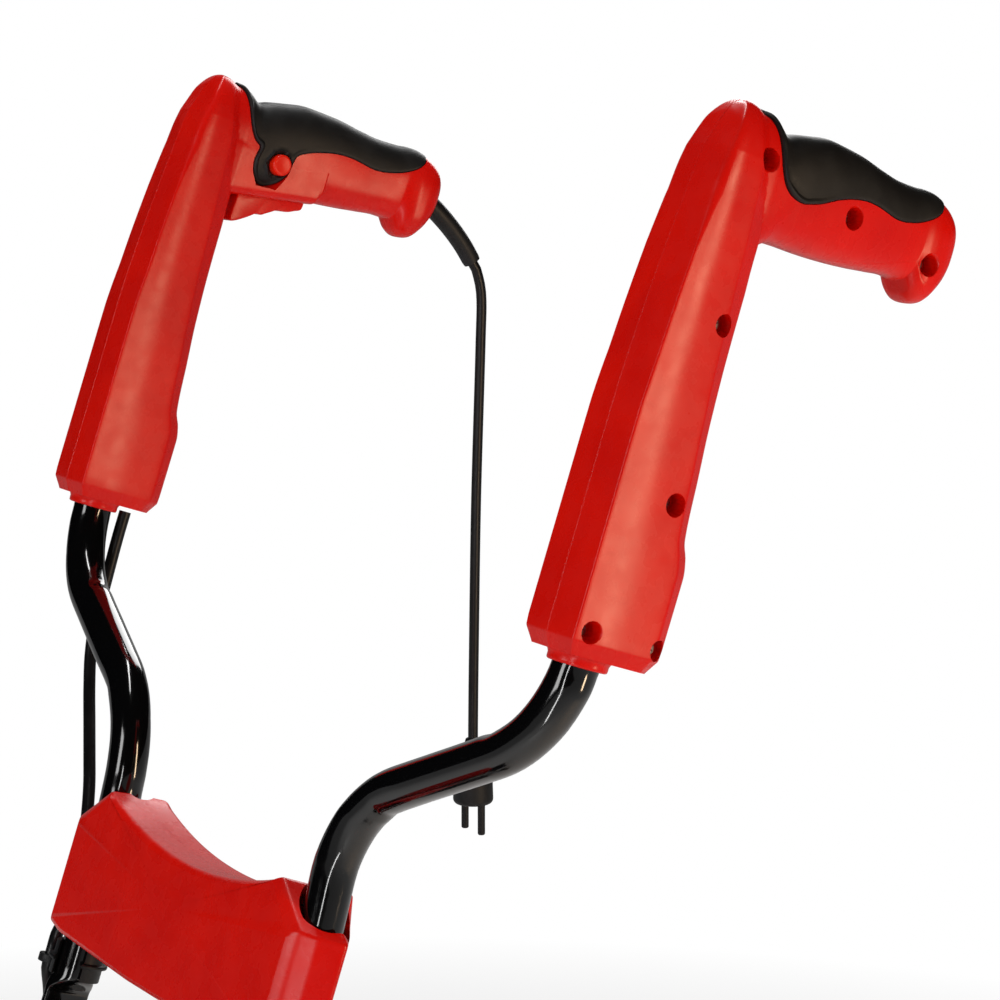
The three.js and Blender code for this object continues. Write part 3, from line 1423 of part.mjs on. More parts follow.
const rightArm = armGroup(-1);
const rightShells = armShells(true);
const switchBox = box(buttonEnd + buttonTravel + gap, buttonEnd + buttonTravel + switchWidth,
  switchFront, switchBack, switchLow, switchLow + switchHeight);
const pinHalf = housingHalf - sheet - gap;
const pin = crossBar(triggerPinRadius, triggerMiddle - pinHalf, triggerMiddle + pinHalf, triggerPinBack, triggerPinUp);
rightArm.add(
  mesh('right_arm_outer_shell', mirrored(rightShells.outer), redPlastic),
  mesh('right_arm_inner_shell', mirrored(rightShells.inner), redPlastic),
  mesh('right_grip_pad', mirrored(gripPad(true)), softBlack),
  mesh('trigger', mirrored(trigger()), redPlastic),
  mesh('trigger_pin', mirrored(pin), steel),
  mesh('lock_off_button', mirrored(lockOffButton()), buttonRed),
  mesh('switch_module', mirrored(switchBox), blackPlastic),
  mesh('cord_strain_relief', mirrored(reliefSolid(0)), softBlack),
);

const leftTube = upperTube();
handle.add(
  mesh('left_upper_tube', leftTube, blackPaint),
  mesh('right_upper_tube', mirrored(leftTube), blackPaint),
);

const bridge = bridgeHalves();
handle.add(
  mesh('bridge_cover_front', bridge.front, redPlastic),
  mesh('bridge_cover_rear', bridge.back, redPlastic),
);

const lowTube = lowerTube();
lowerFrame.add(
  mesh('left_lower_tube', lowTube, blackPaint),
  mesh('right_lower_tube', mirrored(lowTube), blackPaint),
);

// Fold joint: bolts through the flat ends, heads outside, knobs inside
const flatOuter = upperInner + gap / 2 + flatThick;
const flatInner = upperInner - gap / 2 - flatThick;
const foldBolt = knobBolt(flatOuter - flatInner + 2 * gap).mirror([1, 0, 0]).translate(flatOuter + gap, 0, 0);
const foldKnob = starKnob().mirror([1, 0, 0]).translate(flatInner - gap, 0, 0);
handle.add(
  mesh('left_fold_bolt', foldBolt, steel),
  mesh('right_fold_bolt', mirrored(foldBolt), steel),
  mesh('left_fold_knob', foldKnob, blackPlastic),
  mesh('right_fold_knob', mirrored(foldKnob), blackPlastic),
);

// Motor lead, upper stretch: from the right arm past the bridge cover to the fold joint
const leadAside = -upperInner - clipLeadAside;
const leadPivotX = leadAside - 2;
const leadUpperRoute = [
  [-240.5, 19, 274.5],
  [-240.5, 19, 260],
  [-241, 20, 235],
  [-240.5, 20.5, 210],
  [-236, 20.5, 192],
  [-226, 19.5, 174],
  [-213, 17.5, 157],
  [-198, 15, 140],
  [-182, 12.5, 124],
  [-167, 10, 106],
  [-154, 8, 86],
  [-147, 5, 68],
  [-140.5, 1, 54],
  [-134, -4.5, 47],
  [leadAside, -clipLeadBeyond, upperClipUp + clipWall],
  [leadAside, -clipLeadBeyond, upperClipUp - clipWall],
  [leadAside, -clipLeadBeyond, upperClipUp - clipHeight / 2],
  [leadAside, -clipLeadBeyond, upperClipUp - clipHeight / 2 - gap],
  [leadAside - 1.4, -2.4, 19],
  [leadPivotX, 0, leadBendReach + overrun],
  [leadPivotX, 0, leadBendReach],
];
const asPoints = (route) => route.map(([x, y, z]) => new THREE.Vector3(x, y, z));
const upperClip = cableClip(-clipLeadAside, -clipLeadBeyond).translate(-upperInner, 0, upperClipUp);
handle.add(
  mesh('motor_lead_upper', cordTube(asPoints(leadUpperRoute), leadRadius, 28), cordBlack),
  mesh('upper_cable_clip', upperClip, blackPlastic),
);

// Motor lead across the fold joint: it crosses on the pivot's own axis
machine.updateMatrixWorld(true);
const bendTop = handle.localToWorld(new THREE.Vector3(leadPivotX, 0, leadBendReach - gap));
const bendFoot = lowerFrame.localToWorld(new THREE.Vector3(leadPivotX, 0, gap - leadBendReach));
const bendMiddle = new THREE.Vector3(leadPivotX, pivotBack, pivotUp);
machine.add(mesh('motor_lead_bend', cordTube([bendTop, bendMiddle, bendFoot], leadRadius, 2), cordBlack));

// Motor lead, lower stretch: behind the right lower tube, then down behind the motor to the gland
const besideTubeShares = [
  [0, 0.163, 1],
  [1, 0.302, 5],
  [7.5, 0.488, 11],
  [20.5, 0.651, 16],
  [33.5, 0.814, clipLeadAside],
];
const clipLeadX = -lowerInner - clipLeadBeyond;
const besideFrame = [
  [leadPivotX, -leadBendReach, 0],
  [leadPivotX, -leadBendReach - overrun, 0],
  ...besideTubeShares.map(([inwards, downShare, back]) => [leadPivotX + inwards, -lowerClipDown * downShare, back]),
  [clipLeadX, clipHeight / 2 - lowerClipDown, clipLeadAside],
  [clipLeadX, -clipHeight / 2 - lowerClipDown, clipLeadAside],
  [clipLeadX + 2 * overrun, -lowerClipDown - 2 * clipHeight + overrun, clipLeadAside + 2 * overrun],
].map(([x, up, back]) => lowerFrame.localToWorld(new THREE.Vector3(x, back, up)));
const glandEnd = glandSeat + gap + glandRadius / 2 + glandNose;
const behindMotor = asPoints([
  [-66, 149, 302],
  [-47, 153, 272],
  [-34, 148, 252],
  [-glandSide, glandEnd + glandRadius, glandUp],
  [-glandSide, glandEnd + gap, glandUp],
]);
const leadLower = cordTube([...besideFrame, ...behindMotor], leadRadius, 28);
machine.add(mesh('motor_lead_lower', leadLower, cordBlack));
lowerFrame.add(mesh('lower_cable_clip',
  cableClip(-clipLeadBeyond, clipLeadAside).translate(-lowerInner, 0, -lowerClipDown), blackPlastic));

// Mains cord: hangs straight down from the strain relief to its plug
const [reliefBack, reliefUp] = reliefRoute.at(-1);
const [beforeBack, beforeUp] = reliefRoute.at(-2);
const reliefTip = rightArm.localToWorld(new THREE.Vector3(-toeAt(reliefBack), reliefBack, reliefUp));
const beforeTip = rightArm.localToWorld(new THREE.Vector3(-toeAt(beforeBack), beforeBack, beforeUp));
const leaving = reliefTip.clone().sub(beforeTip).normalize();
const cordStart = reliefTip.clone().addScaledVector(leaving, gap);
const hangAt = (drop, swing) => new THREE.Vector3(cordStart.x, cordStart.y + swing, cordStart.z - drop);
const cordRoute = [
  cordStart,
  cordStart.clone().addScaledVector(leaving, cordSwing),
  hangAt(4 * cordSwing, cordSwing * 1.3),
  hangAt(10 * cordSwing, cordSwing * 1.2),
  hangAt(cordDrop / 2, cordSwing / 2),
  hangAt(cordDrop - cordSwing, 0),
  hangAt(cordDrop, 0),
];
machine.add(mesh('mains_cord', cordTube(cordRoute, cordRadius, 20), cordBlack));

function mainsPlug() {
  const neck = cordRadius + clipWall;
  const body = revolve([
    [0, 0], [neck, 0], [neck, -plugLength * plugNeckShares[0]], [plugRadius, -plugLength * plugNeckShares[1]],
    [plugRadius, -plugLength], [0, -plugLength],
  ], roundSides);
  const pinFoot = -plugLength - plugPinLength;
  const pins = [-1, 1].map((hand) =>
    post(plugPinRadius, pinFoot, -plugLength / 2, holeSides).translate((hand * plugPinSpacing) / 2, 0, 0));
  return join(body, ...pins);
}
const plugTop = hangAt(cordDrop + gap, 0);
machine.add(mesh('mains_plug', mainsPlug().translate(plugTop.x, plugTop.y, plugTop.z), blackPlastic));

// Yoke, motor and gearbox
const gearbox = gearboxHalves();
machine.add(
  mesh('yoke', yoke(), blackPaint),
  mesh('motor_base', motorBase(), blackPlastic),
  mesh('cable_gland', cableGland(), blackPlastic),
  mesh('motor_cover', motorCover(), redPlastic),
  mesh('stator', stator(), darkSteel),
  mesh('rotor_core', rotorCore(), darkSteel),
  mesh('worm_shaft', motorShaft(), steel),
  mesh('commutator', onMotor(ringPost(around(rotorShaftRadius), commutatorRadius, commutatorLow,
    commutatorLow + commutatorHeight)), copper),
  mesh('motor_fan', fan(), blackPlastic),
  mesh('motor_top_bearing', onMotor(ringPost(around(rotorShaftRadius), motorBearingRadius, topBearingLow,
    topBearingLow + bearingHeight)), steel),
  mesh('worm_end_bearing', onMotor(ringPost(around(rotorShaftRadius), motorBearingRadius, endBearingLow,
    endBearingLow + bearingHeight)), steel),
  mesh('gearbox_left', gearbox.left, castMetal),
  mesh('gearbox_right', gearbox.right, castMetal),
  mesh('worm_wheel', wormWheel(), brass),
);

// Tine shaft with its bearings, stars and guard
const starFirst = gearboxHalf + 2 * gap + starPitch / 2;
const shaftEnd = starFirst + 1.5 * starPitch + shaftOver;
const bearingLowX = gearWidth / 2 + wheelClear;
const shaftBearing = cut(
  crossBar(shaftBearingRadius, bearingLowX, bearingLowX + bearingHeight, 0, shaftCentreUp, roundSides),
  crossBar(around(shaftRadius), 0, gearboxHalf, 0, shaftCentreUp, roundSides),
);
machine.add(
  mesh('tine_shaft', crossBar(shaftRadius, -shaftEnd, shaftEnd, 0, shaftCentreUp, roundSides), steel),
  mesh('left_shaft_bearing', shaftBearing, steel),
  mesh('right_shaft_bearing', mirrored(shaftBearing), steel),
  mesh('left_inner_tines', tineStar(starFirst, Math.PI / 6, 1), darkSteel),
  mesh('left_outer_tines', tineStar(starFirst + starPitch, 0, -1), darkSteel),
  mesh('right_inner_tines', tineStar(-starFirst, Math.PI / 3, -1), darkSteel),
  mesh('right_outer_tines', tineStar(-starFirst - starPitch, 0, 1), darkSteel),
  mesh('tine_guard', tineGuard(), blackPaint),
);

// Transport wheels on their frame; a shouldered bolt on each side is its pivot, and the left one clamps it
const boltIn = armOuterX - wheelArmThick - gap;
const shankEnd = yokeHalf + knobHeight * knobShankShare;
const wheelBolt = join(
  crossBar(2 * pivotRadius, boltIn - boltHeadHeight, boltIn, wheelPivotBack, wheelPivotUp, roundSides),
  crossBar(pivotRadius, boltIn - boltHeadHeight / 2, shankEnd, wheelPivotBack, wheelPivotUp),
);
const shortBolt = wheelBolt.intersect(box(0, yokeHalf + 2 * sheet, 0, pivotBack, 0, pivotUp));
const wheelX = yokeHalf + hubReach + gap;
const wheelIn = (shape) => shape.translate(wheelX, axleBack, wheelCentreUp);
const rim = wheelIn(wheelRim());
const tyre = wheelIn(wheelTyre());
const axleHalf = wheelX + wheelWidth + 2 * gap + sheet;
const clampKnob = starKnob(pivotRadius).translate(yokeHalf + gap, wheelPivotBack, wheelPivotUp);
machine.add(
  mesh('wheel_frame', wheelFrame(), blackPaint),
  mesh('left_wheel_bolt', wheelBolt, steel),
  mesh('right_wheel_bolt', mirrored(shortBolt), steel),
  mesh('wheel_clamp_knob', clampKnob, blackPlastic),
  mesh('wheel_axle', crossBar(axleRadius, -axleHalf, axleHalf, axleBack, wheelCentreUp, roundSides), steel),
  mesh('left_wheel_rim', rim, redPlastic),
  mesh('right_wheel_rim', mirrored(rim), redPlastic),
  mesh('left_wheel_tyre', tyre, tyreRubber),
  mesh('right_wheel_tyre', mirrored(tyre), tyreRubber),
);

// The part's origin: the middle of its footprint, on the ground; a loose cord isn't counted
machine.updateMatrixWorld(true);
const footprint = new THREE.Box3();
const loose = ['mains_cord', 'mains_plug'];
machine.traverse((object) => {
  if (object.isMesh && !loose.includes(object.name)) footprint.expandByObject(object, true);
});
const middle = footprint.getCenter(new THREE.Vector3());
machine.position.set(-middle.x, -middle.y, -footprint.min.z);

export default machine;
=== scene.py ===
"""Blender looks for an electric garden tiller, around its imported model.

Lengths are millimetres until fit() puts a piece into the model's frame, which is in metres.
"""

import json
import math

import bmesh
import bpy
import numpy as np
from mathutils import Matrix, Vector
from mathutils.geometry import delaunay_2d_cdt


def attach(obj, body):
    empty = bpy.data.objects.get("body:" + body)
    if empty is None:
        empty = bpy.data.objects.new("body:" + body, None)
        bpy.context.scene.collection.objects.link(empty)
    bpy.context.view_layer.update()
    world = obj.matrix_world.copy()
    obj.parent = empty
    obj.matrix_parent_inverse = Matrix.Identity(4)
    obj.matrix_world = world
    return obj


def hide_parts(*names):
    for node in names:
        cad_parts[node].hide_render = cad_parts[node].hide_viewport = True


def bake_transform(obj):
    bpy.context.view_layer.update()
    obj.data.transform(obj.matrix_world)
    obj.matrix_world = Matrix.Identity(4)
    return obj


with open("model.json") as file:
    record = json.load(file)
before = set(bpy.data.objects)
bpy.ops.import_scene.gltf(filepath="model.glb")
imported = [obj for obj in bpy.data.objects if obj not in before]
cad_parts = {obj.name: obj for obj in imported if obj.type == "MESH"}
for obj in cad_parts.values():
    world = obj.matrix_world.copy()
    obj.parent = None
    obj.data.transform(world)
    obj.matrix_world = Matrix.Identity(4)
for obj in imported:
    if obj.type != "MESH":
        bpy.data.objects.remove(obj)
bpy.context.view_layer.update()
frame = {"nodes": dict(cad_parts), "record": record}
node_body = {
    node: body
    for body, nodes in frame["record"]["behaviour"]["bodies"].items()
    for node in nodes
}

# ---------------------------------------------------------------- places



def shift(x=0.0, y=0.0, z=0.0):
    return Matrix.Translation((x, y, z))


def spin(axis, degrees):
    return Matrix.Rotation(math.radians(degrees), 4, axis)


MM = 0.001
GROUND_BACK = -253.6255
PIVOT_BACK, PIVOT_UP = 262, 545
HANDLE_LEAN, FRAME_LEAN = 19.5, 34
ARM_X, ARM_UP = 245, 275
PIVOT = shift(0, PIVOT_BACK + GROUND_BACK, PIVOT_UP)
HANDLE = PIVOT @ spin("X", -HANDLE_LEAN)
FRAME = PIVOT @ spin("X", -FRAME_LEAN)
GROUND = shift(0, GROUND_BACK)
SAME = Matrix.Identity(4)
MIRROR = Matrix.Scale(-1, 4, (1, 0, 0))
LEFT_ARM = HANDLE @ shift(ARM_X, 0, ARM_UP)
RIGHT_ARM = HANDLE @ shift(-ARM_X, 0, ARM_UP) @ MIRROR
ALONG_X = spin("Y", 90)
ALONG_Y = spin("X", -90)


def full_turn(count):
    """Angles of evenly spaced points round a circle."""
    return np.linspace(0, 2 * np.pi, count, endpoint=False)


def linked(name, data):
    """A new object in the scene."""
    made = bpy.data.objects.new(name, data)
    bpy.context.scene.collection.objects.link(made)
    return made


# ---------------------------------------------------------------- camera and light


VIEW_ROUND, VIEW_DOWN = math.radians(56.5), math.radians(9.8307)
CAMERA_AT = (1.27187, -0.62007, 1.09583)
LENS, SENSOR = 104.598, 36


def place_camera():
    """The photograph's view: from the front and one side, looking a little down."""
    round_by, down_by = VIEW_ROUND, VIEW_DOWN
    right = Vector((math.cos(round_by), math.sin(round_by), 0))
    ahead = Vector((-math.sin(round_by), math.cos(round_by), 0)) * math.cos(down_by)
    ahead.z = -math.sin(down_by)
    turn = Matrix((right, right.cross(ahead), -ahead)).transposed().to_4x4()
    lens = bpy.data.cameras.new("camera")
    lens.lens, lens.sensor_width = LENS, SENSOR
    camera = linked("camera", lens)
    camera.matrix_world = shift(*CAMERA_AT) @ turn
    bpy.context.scene.camera = camera


def soft_box(name, at, towards, wide, tall, power, colour=(1, 1, 1)):
    """A rectangular lamp; places and sizes in metres, power in watts."""
    lamp = bpy.data.lights.new(name, "AREA")
    lamp.shape = "RECTANGLE"
    lamp.size, lamp.size_y = wide, tall
    lamp.energy = power
    lamp.color = colour
    light = linked(name, lamp)
    aim = (Vector(towards) - Vector(at)).to_track_quat("-Z", "Y")
    light.matrix_world = shift(*at) @ aim.to_matrix().to_4x4()


place_camera()
bpy.context.scene.view_settings.view_transform = "Standard"
soft_box("side_box", (1.14, 0.62, 0.78), (0.26, 0.13, 0.83), 0.12, 0.85, 6.6, (1, 0.72, 0.46))
soft_box("rear_box", (-0.9, 1.2, 1.5), (0.0, 0.1, 0.7), 0.5, 0.8, 6)
soft_box("front_box", (0.3, -1.9, 1.5), (0.0, 0.0, 0.8), 0.6, 1.1, 13)
soft_box("front_strip", (0.9, -1.0, 0.6), (0.0, 0.1, 0.75), 0.07, 0.9, 3)
soft_box("top_strip", (-0.35, 0.35, 1.9), (0.0, 0.1, 0.75), 0.09, 1.4, 6)

# ---------------------------------------------------------------- finishes


def srgb(red, green, blue):
    """A colour written in the usual 0 to 255, as Blender's linear colour."""
    shares = [value / 255 for value in (red, green, blue)]
    steps = [v / 12.92 if v <= 0.04045 else ((v + 0.055) / 1.055) ** 2.4 for v in shares]
    return (*steps, 1.0)


class Wire:
    """A node's output that can stand in an expression."""

    def __init__(self, finish, socket):
        self.finish = finish
        self.socket = socket

    def __add__(self, other):
        return self.finish.math("ADD", self, other)

    def __rsub__(self, other):
        return self.finish.math("SUBTRACT", other, self)

    def __mul__(self, other):
        return self.finish.math("MULTIPLY", self, other)


class Finish:
    """A material built from nodes, and the record's slot that it belongs to."""

    def __init__(self, name, slot=None, owner=None):
        self.material = owner or bpy.data.materials.new(name)
        self.material.use_nodes = True
        self.tree = self.material.node_tree
        self.tree.nodes.clear()
        self.slot = slot
        self.spot = None

    def node(self, kind, settings=None, sockets=None, out=0):
        made = self.tree.nodes.new("ShaderNode" + kind)
        for key, value in (settings or {}).items():
            setattr(made, key, value)
        for key, value in (sockets or {}).items():
            if isinstance(value, Wire):
                self.tree.links.new(value.socket, made.inputs[key])
            else:
                made.inputs[key].default_value = value
        return Wire(self, made.outputs[out]) if len(made.outputs) else made

    def math(self, operation, first, second=0.0):
        return self.node("Math", {"operation": operation}, {0: first, 1: second})

    def object_spot(self):
        if self.spot is None:
            self.spot = self.node("TexCoord", out="Object")
        return self.spot

    def noise(self, size, detail=2.0, stretch=None):
        """Noise whose cells are about size millimetres; stretch makes them longer along an axis."""
        spot = self.object_spot()
        if stretch:
            spot = self.node("Mapping", None, {"Vector": spot, "Scale": stretch})
        return self.node(
            "TexNoise", None, {"Vector": spot, "Scale": 1 / (size * MM), "Detail": detail}
        )

    def cells(self, size):
        return self.node(
            "TexVoronoi", None, {"Vector": self.object_spot(), "Scale": 1 / (size * MM)}
        )

    def ramp(self, value, low, high, start=0.0, end=1.0):
        return self.node("MapRange", None, {0: value, 1: low, 2: high, 3: start, 4: end})

    def mix(self, share, first, second):
        return self.node(
            "Mix", {"data_type": "RGBA"}, {0: share, 6: first, 7: second}, out=2
        )

    def bump(self, height, depth, under=None):
        """Depth is the height's full range in millimetres."""
        sockets = {"Height": height, "Distance": depth * MM}
        if under:
            sockets["Normal"] = under
        return self.node("Bump", None, sockets)

    def rounded_edges(self, radius):
        """The normal of edges rounded by a radius in millimetres; none for a sharp piece."""
        return self.node("Bevel", {"samples": 4}, {"Radius": radius * MM}) if radius else None

    def surface(self, **sockets):
        names = {key.replace("_", " "): value for key, value in sockets.items()}
        shader = self.node("BsdfPrincipled", None, names)
        self.node("OutputMaterial", None, {"Surface": shader})
        return self


def red_plastic(name, colour, dark, slot, gloss, edges=0.0):
    """Moulded polypropylene: fine spark grain, faint sink marks, a few lighter scuffs."""
    made = Finish(name, slot)
    grain = made.noise(0.32, 1.5)
    sinks = made.noise(26, 1.5)
    specks = made.ramp(made.cells(1.9), 0.05, 0.16, 1.0, 0.0)
    patches = made.ramp(made.noise(3.1, 3), 0.62, 0.72)
    scuff = specks * patches * 0.5
    tint = made.mix(made.ramp(sinks, 0.3, 0.7), dark, colour)
    tint = made.mix(scuff * 0.12, tint, srgb(246, 120, 96))
    shape = made.bump(sinks, 0.16, made.rounded_edges(edges))
    shape = made.bump(grain, 0.006, shape)
    rough = made.ramp(made.noise(9, 3), 0.25, 0.75, gloss - 0.04, gloss + 0.05) + scuff * 0.2
    return made.surface(
        Base_Color=tint, Roughness=rough, Normal=shape, Specular_IOR_Level=0.3
    )


def dark_polymer(name, colour, pale, slot, gloss, grain_size, grain_depth, edges=0.0):
    """Black moulded or rubbery surface: grain, dust in patches, hair scratches."""
    made = Finish(name, slot)
    grain = made.noise(grain_size, 2.5)
    hairs = made.ramp(made.noise(1.3, 1, (1, 0.06, 1)), 0.7, 0.78)
    dust = made.ramp(made.noise(14, 4), 0.45, 0.8)
    tint = made.mix(dust * 0.35 + hairs * 0.12, colour, pale)
    shape = made.bump(grain, grain_depth, made.rounded_edges(edges))
    rough = made.ramp(dust, 0, 1, gloss, gloss + 0.08) + hairs * 0.05
    return made.surface(
        Base_Color=tint, Roughness=rough, Normal=shape, Specular_IOR_Level=0.35
    )


def metal(name, colour, dark, slot, gloss, stretch=None, metallic=1.0, edges=0.0, pits=0.02):
    """Bare metal: stains and a brushed or cast grain."""
    made = Finish(name, slot)
    grain = made.noise(0.6, 3, stretch)
    stain = made.ramp(made.noise(11, 4), 0.35, 0.75)
    tint = made.mix(stain, colour, dark)
    shape = made.bump(grain, pits, made.rounded_edges(edges))
    rough = made.ramp(grain, 0.3, 0.7, gloss - 0.06, gloss + 0.08) + stain * 0.08
    return made.surface(Base_Color=tint, Metallic=metallic, Roughness=rough, Normal=shape)


def gloss_paint(name, colour, slot, edges=0.0):
    """Stove enamel on tube: orange peel, dust specks, a clear skin."""
    made = Finish(name, slot)
    peel = made.noise(2.2, 1.5)
    waves = made.noise(16, 1)
    specks = made.ramp(made.cells(2.4), 0.04, 0.1, 1.0, 0.0)
    specks = specks * made.ramp(made.noise(5, 2), 0.6, 0.7)
    tint = made.mix(specks * 0.5, colour, srgb(70, 70, 72))
    shape = made.bump(waves, 0.09, made.rounded_edges(edges))
    shape = made.bump(peel, 0.006, shape)
    rough = made.ramp(made.noise(7, 3), 0.3, 0.8, 0.09, 0.14) + specks * 0.3
    return made.surface(
        Base_Color=tint, Roughness=rough, Normal=shape, Coat_Weight=0.6, Coat_Roughness=0.08
    )


RED_TINTS = srgb(226, 14, 0), srgb(215, 9, 0)
MATT_TINTS = srgb(20, 21, 23), srgb(46, 47, 50)
CAST_TINTS = srgb(158, 160, 163), srgb(128, 130, 133)
STEEL_TINTS = srgb(186, 188, 192), srgb(150, 150, 154)
IRON_TINTS = srgb(92, 95, 100), srgb(62, 62, 64)
CORD_TINTS = srgb(14, 14, 16), srgb(34, 34, 37)
TYRE_TINTS = srgb(27, 27, 28), srgb(70, 68, 64)
SOFT_TINTS = srgb(20, 20, 21), srgb(40, 41, 43)
ENAMEL = srgb(7, 7, 8)

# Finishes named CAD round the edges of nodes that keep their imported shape
RED = red_plastic("red_moulding", *RED_TINTS, "red_plastic", 0.27)
RED_CAD = red_plastic("red_cad", *RED_TINTS, "red_plastic", 0.36, 0.6)
BUTTON = red_plastic("button_red", srgb(238, 32, 6), srgb(230, 26, 5), "button_red", 0.3)
SOFT = dark_polymer("soft_grip", *SOFT_TINTS, "soft_black", 0.5, 0.5, 0.02)
MATT = dark_polymer("black_moulding", *MATT_TINTS, "black_plastic", 0.46, 0.7, 0.03)
MATT_CAD = dark_polymer("black_cad", *MATT_TINTS, "black_plastic", 0.46, 0.7, 0.03, 0.5)
CORD = dark_polymer("cord_jacket", *CORD_TINTS, "cord_black", 0.34, 1.6, 0.02)
TYRE = dark_polymer("tyre_rubber", *TYRE_TINTS, "tyre_rubber", 0.72, 0.9, 0.06)
PAINT = gloss_paint("black_enamel", ENAMEL, "black_paint")
PAINT_CAD = gloss_paint("black_enamel_cad", ENAMEL, "black_paint", 0.8)
CAST = metal("cast_alloy", *CAST_TINTS, "cast_metal", 0.45, None, 0.85, 0, 0.05)
STEEL = metal("plated_steel", *STEEL_TINTS, "steel", 0.3, (1, 1, 0.2))
STEEL_CAD = metal("plated_steel_cad", *STEEL_TINTS, "steel", 0.3, None, 1, 0.4)
TINE = metal("forged_steel", *IRON_TINTS, "dark_steel", 0.42, None, 0.9, 0, 0.06)
IRON_CAD = metal("core_iron", *IRON_TINTS, "dark_steel", 0.45, None, 0.9, 0.3, 0.04)
COPPER = metal("copper_bars", srgb(186, 110, 62), srgb(140, 80, 50), "copper", 0.35, None, 1, 0.3)
BRASS = metal("gear_bronze", srgb(200, 160, 82), srgb(160, 122, 60), "brass", 0.35, None, 1, 0.3)

# ---------------------------------------------------------------- mesh tools


def new_piece(name, points, faces):
    shape = bpy.data.meshes.new(name)
    shape.from_pydata(np.asarray(points, float).tolist(), [], [list(face) for face in faces])
    piece = linked(name, shape)
    face_outwards(piece)
    return piece


def face_outwards(piece, weld=1e-4):
    """Welds doubled points and turns all faces outwards."""
    sheet = bmesh.new()
    sheet.from_mesh(piece.data)
    bmesh.ops.remove_doubles(sheet, verts=sheet.verts, dist=weld)
    bmesh.ops.dissolve_degenerate(sheet, edges=sheet.edges, dist=weld)
    bmesh.ops.recalc_face_normals(sheet, faces=sheet.faces)
    if sheet.calc_volume(signed=True) < 0:
        bmesh.ops.reverse_faces(sheet, faces=sheet.faces)
    sheet.to_mesh(piece.data)
    sheet.free()


def loft(name, rings, closed=False):
    """A skin over rings of equal point counts; its ends are fans, or the last ring joins the first."""
    rings = [np.asarray(ring, float) for ring in rings]
    count, rows = len(rings[0]), len(rings)
    points = np.concatenate(rings)
    faces = []
    for row in range(rows if closed else rows - 1):
        here, after = row * count, ((row + 1) % rows) * count
        for i in range(count):
            j = (i + 1) % count
            faces.append((here + i, here + j, after + j, after + i))
    if not closed:
        middles = [rings[0].mean(0), rings[-1].mean(0)]
        points = np.concatenate([points, middles])
        last = (rows - 1) * count
        for i in range(count):
            j = (i + 1) % count
            faces.append((j, i, rows * count))
            faces.append((last + i, last + j, rows * count + 1))
    return new_piece(name, points, faces)


def turned(name, profile, sides=64):
    """A body revolved around Z from [radius, height] points; a closed ring where no radius is 0."""
    angles = full_turn(sides)
    rows = []
    for radius, up in profile:
        radius = max(radius, 1e-4)
        ring = [radius * np.cos(angles), radius * np.sin(angles), np.full(sides, up)]
        rows.append(np.stack(ring, 1))
    hollow = min(radius for radius, _ in profile) > 0
    return loft(name, rows, closed=hollow)


def rod(name, radius, low, high, sides=48):
    """A plain cylinder along Z, mostly the tool for a bore."""
    return turned(name, [(0, low), (radius, low), (radius, high), (0, high)], sides)


def eased_corner(before, here, after, size, steps):
    """Points of a curve that cuts one corner round."""
    into, away = here - before, after - here
    long_in, long_out = np.linalg.norm(into), np.linalg.norm(away)
    reach = min(size, 0.45 * long_in, 0.45 * long_out)
    start, end = here - into / long_in * reach, here + away / long_out * reach
    shares = np.linspace(0, 1, steps + 1)
    return [(1 - t) ** 2 * start + 2 * t * (1 - t) * here + t * t * end for t in shares]


def eased(profile, size, steps=3):
    """A profile or outline with each corner cut round by about size."""
    points = [np.array(point, float) for point in profile]
    out = [points[0]]
    for before, here, after in zip(points, points[1:], points[2:]):
        out += eased_corner(before, here, after, size, steps)
    out.append(points[-1])
    return out


def eased_loop(profile, size):
    """As eased(), for the profile of a hollow ring, whose last point is its first again."""
    return eased(profile, size, 2)[:-1]


def eased_ring(outline, size, steps=3):
    """As eased(), for a closed outline; size may be one number for each corner."""
    points = np.asarray(outline, float)
    count = len(points)
    sizes = np.broadcast_to(np.asarray(size, float), (count,))
    out = []
    for i, here in enumerate(points):
        out += eased_corner(points[i - 1], here, points[(i + 1) % count], sizes[i], steps)
    return np.array(out)


def split_sides(ring, every, keep_last=False):
    """Splits the straight side after each rounded corner into as many parts as the corner has."""
    out = []
    for i, point in enumerate(ring):
        after = ring[(i + 1) % len(ring)]
        whole = i % every != every - 1 or (keep_last and i == len(ring) - 1)
        parts = 1 if whole else every
        out += [point + (after - point) * k / parts for k in range(parts)]
    return np.array(out)


def squared(values, power):
    """Sines or cosines drawn towards a square outline."""
    return np.sign(values) * np.abs(values) ** power


def across_x(points, x):
    """Points of the plane of Y and Z, all at one x."""
    return [(x, y, z) for y, z in points]


def slab(name, outline, low, high, bevel=0.0, steps=2):
    """A plate: an outline in the plane of Y and Z, from x = low to x = high, its edges rounded."""
    outline = np.asarray(outline, float)
    count = len(outline)
    points = across_x(outline, low) + across_x(outline, high)
    faces = [tuple(range(count)), tuple(range(2 * count - 1, count - 1, -1))]
    faces += [(i, i + count, (i + 1) % count + count, (i + 1) % count) for i in range(count)]
    piece = new_piece(name, points, faces)
    if not bevel:
        return piece
    change = piece.modifiers.new("edges", "BEVEL")
    change.width, change.segments = bevel, steps
    change.limit_method, change.angle_limit = "ANGLE", math.radians(40)
    return applied(piece)


def oblong(y0, y1, z0, z1):
    return [(y0, z0), (y1, z0), (y1, z1), (y0, z1)]


def applied(piece):
    """Turns a piece with modifiers into its plain mesh."""
    seen = piece.evaluated_get(bpy.context.evaluated_depsgraph_get())
    shape = bpy.data.meshes.new_from_object(seen)
    piece.modifiers.clear()
    old = piece.data
    piece.data = shape
    bpy.data.meshes.remove(old)
    return piece


